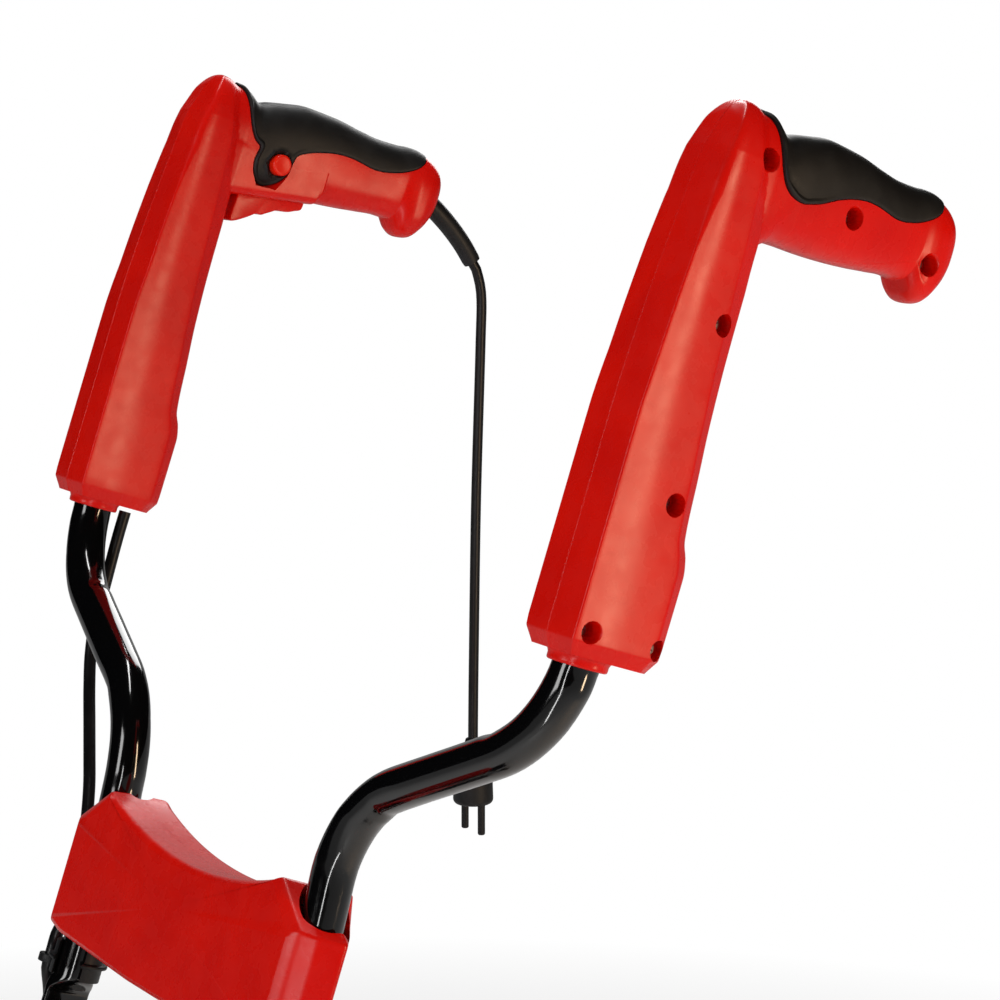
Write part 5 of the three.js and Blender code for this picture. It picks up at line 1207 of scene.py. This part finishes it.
outline = curve_through(TRIGGER_UNDER, 0.8).tolist() + TRIGGER_TOP
sides = TRIGGER_MIDDLE - TRIGGER_HALF, TRIGGER_MIDDLE + TRIGGER_HALF
fit(slab("trigger_blade", outline, *sides, 1.3, 3), RED, RIGHT_ARM, "trigger")

last = len(RELIEF_LINE) - 1
radii = np.interp(np.arange(last + 1), [0, last - 1, last], [6.15, 5.55, 5.2])
relief = loft("cord_sleeve", rings_along(RELIEF_LINE, radii, 48))
fit(relief, MATT, RIGHT_ARM, "cord_strain_relief")

# ---------------------------------------------------------------- tubes

TUBE_RADIUS = 11
UPPER_X = 111
LOWER_X = 81.3
FLAT_REACH = 20.5
FLAT_TAPER = 10.5
FLAT_HALF, FLAT_WIDE = 2.25, 13
FLAT_OFFSET = 2.4
BOLT_ROOM = 3.3


def rounded_run(corners, radius, spacing=2.4):
    """Straight runs in a plane with round corners, as evenly spaced points."""
    corners = [np.array(corner, float) for corner in corners]
    points = [corners[0]]
    for before, here, after in zip(corners, corners[1:], corners[2:]):
        into = (here - before) / np.linalg.norm(here - before)
        out = (after - here) / np.linalg.norm(after - here)
        turn = math.acos(np.clip(into.dot(out), -1, 1))
        start = here - into * radius * math.tan(turn / 2)
        inward = out - into * out.dot(into)
        inward /= np.linalg.norm(inward)
        centre = start + inward * radius
        for angle in np.linspace(0, turn, 14):
            c, s = math.cos(angle), math.sin(angle)
            points.append(centre - inward * radius * c + into * radius * s)
    points = np.array(points + [corners[-1]])
    return evenly(points, int(travelled(points)[-1] / spacing))


def pressed_rings(x, shift_x, towards, sides):
    """From the round tube to the flat, round-tipped end around its bolt hole."""
    angles = full_turn(sides)
    rings = []
    rows = [(FLAT_REACH + FLAT_TAPER * (1 - t), t) for t in np.linspace(0, 1, 9)]
    rows += [(up, 1) for up in np.linspace(FLAT_REACH - 1, 0, 10)]
    for up, press in rows:
        ease = press * press * (3 - 2 * press)
        thick = TUBE_RADIUS + (FLAT_HALF - TUBE_RADIUS) * ease
        wide = TUBE_RADIUS + (FLAT_WIDE - TUBE_RADIUS) * ease
        rings.append((up, thick, wide, shift_x * ease, 2 / (2 + 4 * ease)))
    for a in np.linspace(0.15, 1.5, 12):
        up, wide = -FLAT_WIDE * math.sin(a), FLAT_WIDE * math.cos(a)
        rings.append((up, FLAT_HALF, wide, shift_x, 2 / 6))
    made = []
    for up, thick, wide, moved_x, power in rings:
        a = thick * squared(np.cos(angles), power)
        b = wide * squared(np.sin(angles), power)
        made.append(np.stack([x + moved_x + a, b, np.full(sides, towards * up)], 1))
    return made


def frame_tube(name, corners, x, shift_x, towards, creases, bend=38):
    """A bent tube with a pressed end; creases are the small dents where a bend begins."""
    sides = 48
    run = rounded_run(corners, bend)
    angles = full_turn(sides)
    rings = []
    for point, way, far in zip(run[:-2], along_path(run), travelled(run)):
        across = np.array([way[1], -way[0]]) * -towards
        radius = np.full(sides, TUBE_RADIUS, float)
        for at, side, depth in creases:
            near = math.exp(-(((far - at) / 5.0) ** 2))
            bulge = math.exp(-(((far - at - 7) / 4.0) ** 2))
            facing = np.clip(side * np.cos(angles), 0, 1) ** 2
            radius += (-depth * near + 0.35 * depth * bulge) * facing
        c, s = radius * np.cos(angles), radius * np.sin(angles)
        rings.append(np.stack([point[0] + across[0] * c, s, point[1] + across[1] * c], 1))
    rings += pressed_rings(x, shift_x, towards, sides)
    tube = loft(name, rings)
    return carve(tube, moved(rod("bolt_room", BOLT_ROOM, -30, 30, 32), shift(x) @ ALONG_X))


# The bent tubes bow a little towards the front: height and offset
FORWARD_BOW = [
    (70, 0), (100, -1), (130, -3), (150, -4.6), (175, -5.6), (195, -5), (220, -2.8), (245, -0.9),
    (270, 0),
]
FLAT_START = FLAT_REACH + FLAT_TAPER + 0.3
UPPER_LINE = [(ARM_X, 425), (ARM_X, 242), (UPPER_X, 178), (UPPER_X, FLAT_START)]
LOWER_LINE = [(LOWER_X, -352), (LOWER_X, -190), (UPPER_X, -90), (UPPER_X, -FLAT_START)]
# Distance along the tube, side, depth
CREASES = [(152, 1, 0.8), (212, -1, 0.6), (296, 1, 0.7), (356, -1, 0.5)]

for side, place in (("left", HANDLE), ("right", HANDLE @ MIRROR)):
    upper = frame_tube(side + "_bent_tube", UPPER_LINE, UPPER_X, FLAT_OFFSET, 1, CREASES, 62)
    for vertex in upper.data.vertices:
        vertex.co.y += np.interp(vertex.co.z, *zip(*FORWARD_BOW))
    fit(upper, PAINT, place, side + "_upper_tube")
for side, place in (("left", FRAME), ("right", FRAME @ MIRROR)):
    lower = frame_tube(side + "_frame_tube", LOWER_LINE, UPPER_X, -FLAT_OFFSET, -1, [])
    fit(lower, PAINT, place, side + "_lower_tube")

# ---------------------------------------------------------------- bridge cover

# Depth from front to back, half the width, half the sagging top, and the edge's chamfer
BRIDGE_ROWS = [
    (-22, 116.8, 91, 3.6), (-21.2, 117.6, 91.8, 1.8), (-18.6, 119.6, 93, 0), (-12, 126, 95.6, 0),
    (-1, 133, 100, 0), (1, 133, 100.4, 0), (17, 109, 99.6, 0), (18.6, 107, 99.4, 1.2),
]
BRIDGE_FRONT, BRIDGE_BACK = BRIDGE_ROWS[0][0], BRIDGE_ROWS[-1][0]
BRIDGE_LOW, BRIDGE_HIGH = 50, 135
BRIDGE_WALL = 2.6
BRIDGE_SPLIT = 2.2
SADDLE = 16


def bridge_ring(depth, half, top_half, chamfer, inset=0.0):
    """The cover's outline at one depth: a sagging top, cut lower corners."""
    half = half - inset - chamfer
    top_half = top_half - (inset + chamfer) / 2
    top, bottom = BRIDGE_HIGH - inset - chamfer, BRIDGE_LOW + inset + chamfer
    sag = (top_half**2 + SADDLE**2) / (2 * SADDLE)
    x = top_half * np.linspace(1, -1, 49)
    arc = np.stack([x, top - SADDLE + sag - np.sqrt(sag**2 - x**2)], 1)
    side = [(half, top - 20), (half, bottom + 6.5), (half - 13, bottom + 3.2), (23, bottom)]
    left = [(-a, b) for a, b in side]
    ring = eased_ring([arc[-1]] + left + side[::-1] + [arc[0]], 1.6, 4)
    outline = np.concatenate([split_sides(ring, 5, keep_last=True), arc[1:-1]])
    return np.stack([outline[:, 0], np.full(len(outline), depth), outline[:, 1]], 1)


def bridge_body(name, inset=0.0):
    """The cover's body, its bends softened; inset makes the room inside it."""
    keys, *columns = zip(*BRIDGE_ROWS)
    front, back = BRIDGE_FRONT + inset, BRIDGE_BACK - inset
    bends = [key + off for key in keys[3:-2] for off in (-0.5, 0, 0.5)]
    depths = np.concatenate([np.linspace(front, back, 44), bends])
    depths = np.unique(depths[(depths >= front) & (depths <= back)])
    rings = []
    for depth in depths:
        near = [depth - 0.6, depth, depth + 0.6]
        values = [np.mean(np.interp(near, keys, column)) for column in columns]
        rings.append(bridge_ring(depth, *values, inset))
    return loft(name, rings)


# Where the bent tubes pass through the cover
MOUTH = [
    (0, 40), (11.6, 40), (11.6, 96), (14.2, 97.5), (14.5, 108), (14.9, 119), (15.8, 121),
    (15.8, 145), (0, 145),
]


def bridge_half(name, front):
    """The front or rear moulding of the cover, hollow, with room for both tubes."""
    body = carve(bridge_body(name), bridge_body("room", BRIDGE_WALL))
    low, high = (BRIDGE_SPLIT + 0.1, 60) if front else (-60, BRIDGE_SPLIT - 0.1)
    tools = [slab("away", oblong(low, high, -60, 260), -200, 200)]
    for x in (-UPPER_X, UPPER_X):
        tools.append(moved(turned("mouth", eased(MOUTH, 0.6, 2), 56), shift(x)))
    return carve(body, *tools)


fit(bridge_half("bridge_front", True), RED, HANDLE, "bridge_cover_front", crisp=24)
fit(bridge_half("bridge_rear", False), RED, HANDLE, "bridge_cover_rear", crisp=24)

# ---------------------------------------------------------------- cords, clips and knobs

LEAD_RADIUS = 3.5
LEAD_X = -130.5
# The motor lead beside the handle, beside the frame tube and down to the motor
LEAD_UPPER = [
    (-240.5, 19, 277), (-240.5, 19, 260), (-241, 20, 235), (-240.5, 20.5, 210),
    (-235, 20.5, 192), (-223, 19.5, 174), (-208, 17.5, 157), (-192, 15, 140),
    (-177, 12.5, 124), (-164, 10, 106), (-154, 8, 86), (-147, 5, 68), (-140.5, 1, 54),
    (-134, -4.5, 47), (-128.5, -7.5, 41.4), (-128.5, -7.5, 36.6), (-128.5, -7.5, 29.7),
    (-129.9, -2.4, 19), (LEAD_X, 0, 12),
]
LEAD_LOWER = [
    (LEAD_X, 0, -12), (LEAD_X, 1, -35), (-129.5, 5, -65), (-123, 11, -105), (-110, 16, -140),
    (-97, 17.5, -175), (-88.8, 17.5, -206), (-88.8, 17.5, -224), (-84.8, 21.5, -249),
]
LEAD_FOOT = [(-66, 149, 302), (-47, 153, 272), (-34, 148, 252), (-30, 132.3, 247), (-30, 118, 247)]


def in_place(points, where):
    """Points in the model's metres."""
    return [tuple(MM * (where @ Vector(point))) for point in points]


lead_route = in_place(LEAD_UPPER, HANDLE)
lead_route.append(tuple(MM * PIVOT.translation + Vector((MM * LEAD_X, 0, 0))))
lead_route += in_place(LEAD_LOWER, FRAME) + in_place(LEAD_FOOT, GROUND)
lead_line = curve_through(lead_route, 4 * MM)
lead = tube_along("motor_lead", lead_line / MM, LEAD_RADIUS, CORD, 20)
lead.data.transform(Matrix.Scale(MM, 4))
face_outwards(lead, 1e-8)
lead.data.shade_smooth()
lead.data.set_sharp_from_angle(angle=math.radians(50))
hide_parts("motor_lead_upper", "motor_lead_bend", "motor_lead_lower")
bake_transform(lead)

CORD_RADIUS = 3.15
CORD_DROP = 300
GAP = 0.3
before_tip, tip = (
    RIGHT_ARM @ Vector((float(toe(back)), back, up)) for back, up in RELIEF_ROUTE[-2:]
)
leaving = (tip - before_tip).normalized()
start = tip + leaving * GAP


def hang(drop, swing):
    """A point of the hanging cord: this far below its start, and back from it."""
    return start + Vector((0, swing, -drop))


cord_route = [
    start, start + leaving * 5, hang(20, 6.5), hang(50, 6), hang(150, 2.5), hang(250, 0.6),
    hang(CORD_DROP - 5, 0), hang(CORD_DROP, 0),
]
cord_line = curve_through(cord_route, 5)
cord = tube_along("mains_lead", cord_line, CORD_RADIUS, CORD, 20)
fit(cord, CORD, SAME, "mains_cord", crisp=50)

PLUG = [
    (0, 0), (4.6, 0), (5.4, -3), (6.2, -14), (11.2, -20), (12.4, -27), (12.8, -40), (11.6, -42),
    (0, -42),
]
PIN = [(0, -61), (2.35, -61), (2.35, -30), (0, -30)]
PIN_X = 9.5
plug = turned("plug_body", eased(PLUG, 1.2), 48)
for x in (-PIN_X, PIN_X):
    merge(plug, moved(turned("pin", eased(PIN, 1.2), 20), shift(x)))
fit(plug, MATT, shift(*hang(CORD_DROP + GAP, 0)), "mains_plug")


CLIP_BAND = [
    (11.6, -9), (13.9, -9), (13.9, -1.4), (16, -1.1), (16.4, 0), (16, 1.1), (13.9, 1.4),
    (13.9, 9), (11.6, 9), (11.6, -9),
]
CLIP_LOBE = [(0, -7), (6.2, -7), (6.2, -2.4), (0, -2.4)]


def cable_clip(name, lead, mouth_turn):
    """A snap clip round a tube, with a lobe for the lead, a middle rib and an open mouth."""
    body = turned(name, eased_loop(CLIP_BAND, 0.5), 56)
    merge(body, moved(turned("lobe", eased(CLIP_LOBE, 0.5, 2), 40), shift(*lead)))
    bore = rod("bore", 11.5, -20, 20, 56)
    lead_bore = moved(rod("bore", LEAD_RADIUS + 0.3, -20, 20, 32), shift(*lead))
    mouth = moved(slab("mouth", oblong(-30, 0, -20, 20), -8.5, 8.5), spin("Z", mouth_turn))
    return carve(body, bore, lead_bore, mouth)


upper_clip = cable_clip("upper_clip", (-17.5, -7.5), 38)
fit(upper_clip, MATT, HANDLE @ shift(-UPPER_X, 0, 39), "upper_cable_clip")
lower_clip = cable_clip("lower_clip", (-7.5, 17.5), 0)
fit(lower_clip, MATT, FRAME @ shift(-LOWER_X, 0, -215), "lower_cable_clip")

# Height, mean radius and depth of the lobes
STAR_ROWS = [
    (0, 8.6, 0), (0.6, 9.3, 0), (5.5, 9.3, 0), (7.5, 9.8, 0.2), (9, 13.8, 2.4), (10.6, 15.6, 3.0),
    (13, 16, 3.0), (20, 16, 3.0), (22, 15.4, 2.8), (23.4, 13.6, 2.2), (24, 11.6, 1.6), (24, 7, 0),
    (23.2, 6, 0), (23, 2, 0),
]


def star_knob(name, bore=3.2):
    """Five soft lobes on a waisted neck, its seat at zero height."""
    angles = full_turn(120)
    rings = []
    for up, reach, lobe in STAR_ROWS:
        radius = reach + lobe * np.cos(5 * angles)
        ring = [radius * np.cos(angles), radius * np.sin(angles), np.full(120, up)]
        rings.append(np.stack(ring, 1))
    return carve(loft(name, rings), rod("bore", bore, -2, 15, 40))


def hex_bolt_head(name, radius, height):
    """A hexagon along X whose corners are turned off."""
    corners = [(radius * math.cos(a), radius * math.sin(a)) for a in full_turn(6)]
    head = slab(name, corners, 0, height)
    wide = radius * 1.02
    top = [(0, height + 0.2), (radius * 0.86, height + 0.1), (wide, height - 1.1)]
    profile = top + [(wide, 0), (0, 0)]
    crown = moved(turned("crown", eased(profile, 0.4), 48), ALONG_X)
    return carve(head, crown, how="INTERSECT")


KNOB_X, BOLT_X = 106.05, 115.95
WASHER = [(3, 0), (8.6, 0), (8.6, 1.2), (3, 1.2), (3, 0)]
for side, place in (("left", HANDLE), ("right", HANDLE @ MIRROR)):
    knob = moved(star_knob(side + "_star_knob"), shift(KNOB_X) @ spin("Y", -90))
    fit(knob, MATT, place, side + "_fold_knob")
    bolt = hex_bolt_head(side + "_bolt_head", 7.4, 4.4)
    washer = moved(turned("washer", eased(WASHER, 0.3)[:-1], 48), ALONG_X)
    merge(bolt, washer, moved(rod("shank", 2.9, -24, 2, 28), ALONG_X))
    fit(bolt, STEEL, place @ shift(BOLT_X), side + "_fold_bolt")

# ---------------------------------------------------------------- motor, tines and wheels

MOTOR_BACK = 38
MOTOR_HALF_X, MOTOR_HALF_Y, MOTOR_SQUARENESS = 62, 65, 2.6
COVER_LOW, COVER_TALL, COVER_WALL = 262.6, 136.0, 3
# Share of the height, share of the width
COVER_ROWS = [(0, 1), (0.6, 0.98), (0.82, 0.9), (0.94, 0.74), (1, 0.45)]
SLOT_PITCH, SLOT_HALF, SLOT_LOW, SLOT_HIGH = 9, 2.5, 274.6, 316.6


def oval_ring(up, scale, inset=0.0, count=144):
    angles = full_turn(count)
    power = 2 / MOTOR_SQUARENESS
    return np.stack([
        (MOTOR_HALF_X * scale - inset) * squared(np.cos(angles), power),
        MOTOR_BACK + (MOTOR_HALF_Y * scale - inset) * squared(np.sin(angles), power),
        np.full(count, up),
    ], 1)


def motor_cover():
    """A domed shell with a groove above its rim and air slots on both sides."""
    rings = []
    for share in np.concatenate([np.linspace(0, 0.05, 6), np.linspace(0.06, 1, 60)]):
        near = np.clip([share - 0.03, share, share + 0.03], 0, 1)
        scale = np.mean(np.interp(near, *zip(*COVER_ROWS)))
        groove = 0.9 if 0.055 < share < 0.08 else 0
        rings.append(oval_ring(COVER_LOW + COVER_TALL * share, scale, groove))
    rings.append(oval_ring(COVER_LOW + COVER_TALL, 0.36))
    shell = loft("cover_shell", rings)
    hollow = loft("hollow", [
        oval_ring(COVER_LOW - 2, 1, COVER_WALL),
        oval_ring(COVER_LOW + 0.82 * (COVER_TALL - 1) - 2, 0.9, COVER_WALL),
        oval_ring(COVER_LOW + COVER_TALL - COVER_WALL, 0.45, COVER_WALL),
    ])
    slots = []
    for k in range(6):
        middle = MOTOR_BACK + (k - 2.5) * SLOT_PITCH
        corners = oblong(middle - SLOT_HALF, middle + SLOT_HALF, SLOT_LOW, SLOT_HIGH)
        outline = eased_ring(corners, 2.2, 5)
        slots += [slab("slot", outline, 48, 72), slab("slot", outline, -72, -48)]
    return carve(shell, hollow, *slots)


fit(motor_cover(), RED, GROUND, "motor_cover", crisp=38)

GLAND = [
    (3.55, 0), (10, 0), (10.8, 0.6), (11, 1.6), (10.8, 3.4), (10, 4), (8.2, 4.1), (8, 5),
    (7.6, 8), (6.9, 8.2), (6.8, 9), (7.4, 9.2), (7.1, 11.6), (6.5, 11.8), (6.4, 12.6), (7, 12.8),
    (6.7, 15.2), (6.1, 15.4), (6, 16.2), (6.4, 16.4), (6, 19.4), (5.4, 20), (3.55, 20),
]
gland = moved(turned("gland", GLAND, 48), shift(-30, 104.3, 247) @ ALONG_Y)
fit(gland, MATT, GROUND, "cable_gland")

SHAFT_UP = 100
TINE_REACH = 99.8
TINE_SWEEP = 0.42
# Share of the reach, then the blade's two edges as angles from its middle
BLADE_LOW = [(0.12, -0.62), (0.2, -0.5), (0.34, -0.27), (0.55, -0.13), (0.8, -0.05), (1, -0.06)]
BLADE_HIGH = [(0.12, 0.62), (0.2, 0.46), (0.34, 0.26), (0.55, 0.17), (0.8, 0.14), (1, 0.06)]


def tine_blade(middle, side):
    """A hooked blade bent sideways, forged thick with ground edges."""
    rings = []
    for share in np.linspace(0.12, 1, 44):
        radius = TINE_REACH * share
        turn = middle + TINE_SWEEP * share ** 2
        near = np.clip([share - 0.03, share, share + 0.03], 0.12, 1)
        low = turn + np.mean(np.interp(near, *zip(*BLADE_LOW)))
        high = turn + np.mean(np.interp(near, *zip(*BLADE_HIGH)))
        edge = min(5.0 / radius, 0.32 * (high - low))
        aside = side * 10 * max(0.0, 2 * (share - 0.5)) ** 2
        thick = 2 if share < 0.985 else 1.3
        section = [
            (low, -0.5), (low + edge, -thick), (high - edge, -thick), (high, -0.5),
            (high, 0.5), (high - edge, thick), (low + edge, thick), (low, 0.5),
        ]
        rings.append([
            (aside + off, radius * math.cos(angle), radius * math.sin(angle))
            for angle, off in section
        ])
    return loft("blade", rings)


HUB_HALF = 32.85
HUB = [
    (10.1, -HUB_HALF), (14.2, -HUB_HALF), (15, -HUB_HALF + 0.8), (15, -5), (17.2, -2.2),
    (17.2, 2.2), (15, 5), (15, HUB_HALF - 0.8), (14.2, HUB_HALF), (10.1, HUB_HALF),
    (10.1, -HUB_HALF),
]


def tine_star(name, phase, hand):
    """Four blades on a hub, bent to one side and the other by turns."""
    hub = moved(turned(name, eased_loop(HUB, 0.6), 72), ALONG_X)
    for k in range(4):
        middle = 2 * math.pi * k / 4 - math.pi / 2 - TINE_SWEEP + phase
        merge(hub, tine_blade(middle, hand * (-1) ** k))
    return carve(hub, moved(rod("bore", 10.15, -60, 60, 72), ALONG_X))


INNER_X, OUTER_X = 59.6, 125.6
for node, across, phase, hand in (
    ("left_inner_tines", INNER_X, math.pi / 6, 1), ("left_outer_tines", OUTER_X, 0, -1),
    ("right_inner_tines", -INNER_X, math.pi / 3, -1), ("right_outer_tines", -OUTER_X, 0, 1),
):
    star = tine_star(node + "_star", phase, hand)
    fit(star, TINE, GROUND @ shift(across, 0, SHAFT_UP), node, crisp=30)

WHEEL_MIDDLE = Vector((97.3, 232, 74.077))


BARREL = [
    (55.5, -14), (62.6, -15.6), (64.6, -15.4), (64.6, -14.2), (61.9, -12.6), (61.9, 12.6),
    (64.6, 14.2), (64.6, 15.4), (62.6, 15.6), (55.5, 14), (55.5, -14),
]
WHEEL_HUB = [(0, -26.8), (11.6, -26.8), (13, -25.4), (14.6, 0), (13, 14), (12, 15.6), (0, 15.6)]
TYRE_SHAPE = [
    (62, -12.4), (64.8, -14), (65.2, -15.9), (69, -15.9), (72, -13.6), (73.2, -10), (73.2, -1.4),
    (72.4, -1), (72.4, 1), (73.2, 1.4), (73.2, 10), (72, 13.6), (69, 15.9), (65.2, 15.9),
    (64.8, 14), (62, 12.4), (62, -12.4),
]
RIB = [(12, -1.8), (57, -1.3), (57, 1.3), (12, 1.8)]
LUG = [(-3.4, 72), (3.4, 72), (2.8, 74.9), (-2.8, 74.9)]
WINDOWS, WINDOW_RADIUS, WINDOW_AT = 5, 16.4, 35.9
LUGS, LUG_SKEW = 30, 0.45


def wheel_rim(name):
    """A moulded rim: lips, a five-window disc, ribs on the spokes, a hub that reaches inwards."""
    barrel = turned(name, eased_loop(BARREL, 0.7), 120)
    merge(barrel, rod("disc", 57, -3, 3, 120), turned("hub", eased(WHEEL_HUB, 1), 72))
    moved(barrel, ALONG_X)
    step = 360 / WINDOWS
    for k in range(WINDOWS):
        rib = slab("rib", eased_ring(RIB, 0.5, 2), -9, 9, 0.7, 2)
        merge(barrel, moved(rib, spin("X", step * k + step / 2)))
    for k in range(WINDOWS):
        window = rod("window", WINDOW_RADIUS, -20, 20, 56)
        carve(barrel, moved(window, spin("X", step * k) @ shift(0, WINDOW_AT) @ ALONG_X))
    return carve(barrel, moved(rod("bore", 6.3, -60, 60), ALONG_X))


def tread(name, row, turn):
    """One row of slanted lugs, each of them turned a step further."""
    lug = slab("lug", eased_ring(LUG, 0.5, 2), 1.8, 14.6, 0.6, 2)
    step = 2 * math.pi / LUGS
    skew = Matrix.Identity(4)
    skew[1][0] = LUG_SKEW
    moved(lug, Matrix.Rotation(turn * step, 4, "X") @ Matrix.Scale(row, 4, (1, 0, 0)) @ skew)
    return copies(name, lug, [(0, 0, 0)] * LUGS, TYRE, turn=(step, 0, 0))


for side, place in (("left", SAME), ("right", MIRROR)):
    where = GROUND @ place @ shift(*WHEEL_MIDDLE)
    fit(wheel_rim(side + "_rim"), MATT, where, side + "_wheel_rim")
    tyre = moved(turned(side + "_tyre", eased_loop(TYRE_SHAPE, 0.5), 150), ALONG_X)
    fit(tyre, TYRE, where, side + "_wheel_tyre")
    for end, row, turn in (("in", -1, 0.0), ("out", 1, 0.5)):
        lugs = tread(f"{side}_tread_{end}", row, turn)
        fit(lugs, TYRE, where, body=node_body[side + "_wheel_tyre"])

WHEEL_BOLT = GROUND @ shift(0, 120, 236)
BOLT_HEAD_X, NUT_X = 61.4, 70.3
for side, turn, reach in (("left", SAME, 84.2), ("right", MIRROR, 76)):
    bolt = hex_bolt_head(side + "_wheel_bolt_head", 7.6, 3.6)
    moved(bolt, shift(BOLT_HEAD_X) @ spin("Z", 180))
    profile = [(0, 58.4), (3.95, 58.4), (3.95, reach - 0.8), (3.2, reach), (0, reach)]
    merge(bolt, moved(turned("shank", eased(profile, 0.3, 2), 36), ALONG_X))
    if side == "right":
        merge(bolt, moved(hex_bolt_head("nut", 6.6, 4.6), shift(NUT_X)))
    fit(bolt, STEEL, WHEEL_BOLT @ turn, side + "_wheel_bolt")

knob = moved(star_knob("clamp_star_knob", 4.3), spin("Y", 90))
fit(knob, MATT, WHEEL_BOLT @ shift(NUT_X), "wheel_clamp_knob")

GEARBOX_FACE, BOLT_CIRCLE = 26, 33.6
BOLT_ANGLES = np.radians([-150, -100, -50, 0, 180])
for side, place in (("left", SAME), ("right", MIRROR)):
    spots = [(0, BOLT_CIRCLE * math.cos(a), BOLT_CIRCLE * math.sin(a)) for a in BOLT_ANGLES]
    heads = copies(side + "_gearbox_bolts", hex_bolt_head("head", 3.6, 2.8), spots, STEEL)
    where = GROUND @ place @ shift(GEARBOX_FACE, 0, SHAFT_UP)
    fit(heads, STEEL, where, body=node_body["gearbox_left"])

# ---------------------------------------------------------------- nodes kept as packed

CAD_FINISHES = {
    "red_plastic": RED_CAD,
    "button_red": BUTTON,
    "soft_black": SOFT,
    "black_plastic": MATT_CAD,
    "cord_black": CORD,
    "black_paint": PAINT_CAD,
    "cast_metal": CAST,
    "steel": STEEL_CAD,
    "dark_steel": IRON_CAD,
    "copper": COPPER,
    "brass": BRASS,
    "tyre_rubber": TYRE,
}
node_slot = {
    node: entry["slot"]
    for entry in frame["record"]["materials"]
    for node in entry.get("nodes", [])
}
for node, piece in frame["nodes"].items():
    slot_name = node_slot.get(node) or piece.data.materials[0].name.split(".")[0]
    for holder in piece.material_slots:
        holder.material = CAD_FINISHES[slot_name].material

# ---------------------------------------------------------------- floor and world


FLOOR_RADII, FLOOR_SIDES = (2, 6, 30), 96


def make_floor():
    """A plain pale floor that takes the object's shadow and fades into the white background."""
    count = FLOOR_SIDES
    points = [(0, 0, 0)] + [
        (radius * math.cos(a), radius * math.sin(a), 0)
        for radius in FLOOR_RADII
        for a in full_turn(count)
    ]
    faces = [(0, 1 + i, 1 + (i + 1) % count) for i in range(count)]
    for low in (1, 1 + count):
        for i in range(count):
            j = (i + 1) % count
            faces.append((low + i, low + count + i, low + count + j, low + j))
    shape = bpy.data.meshes.new("floor")
    shape.from_pydata(points, [], faces)
    floor = linked("floor", shape)
    pale = Finish("floor_paper")
    spread = pale.node("VectorMath", {"operation": "LENGTH"}, {0: pale.object_spot()}, out=1)
    far = pale.ramp(spread, 0.7, 1.9)
    path = pale.node("LightPath")
    seen = Wire(pale, path.socket.node.outputs["Is Camera Ray"])
    mottle = pale.ramp(pale.noise(0.8, 3), 0.4, 0.6)
    paper = pale.mix(mottle, srgb(238, 238, 238), srgb(244, 244, 244))
    matt = pale.node("BsdfPrincipled", None, {"Base Color": paper, "Roughness": 0.9})
    glow = pale.node("Emission", None, {"Color": (1, 1, 1, 1), "Strength": 1.0})
    both = pale.node("MixShader", None, {0: far * seen, 1: matt, 2: glow})
    pale.node("OutputMaterial", None, {"Surface": both})
    floor.data.materials.append(pale.material)


BACKDROP_WAY = (-0.82, 0.54, 0.1)


def make_world():
    """White for the camera, one pale patch for reflections, an even grey light for the rest."""
    world = bpy.data.worlds.new("studio")
    bpy.context.scene.world = world
    sky = Finish("studio", owner=world)
    path = sky.node("LightPath").socket.node
    seen = Wire(sky, path.outputs["Is Camera Ray"])
    glossy = Wire(sky, path.outputs["Is Glossy Ray"])
    through = Wire(sky, path.outputs["Is Transmission Ray"])
    direct = sky.math("MAXIMUM", sky.math("MAXIMUM", seen, glossy), through)
    spot = sky.node("TexCoord", out="Generated")
    towards = {0: spot, 1: BACKDROP_WAY}
    ahead = sky.node("VectorMath", {"operation": "DOT_PRODUCT"}, towards, out=1)
    backdrop = sky.ramp(ahead, 0.84, 1.0, 0.0, 0.4)
    plain = (1 - direct) * 0.24
    strength = sky.math("MAXIMUM", seen, through) + glossy * backdrop + plain
    glow = sky.node("Background", None, {"Color": (1, 1, 1, 1), "Strength": strength})
    sky.node("OutputWorld", None, {"Surface": glow})


make_floor()
make_world()
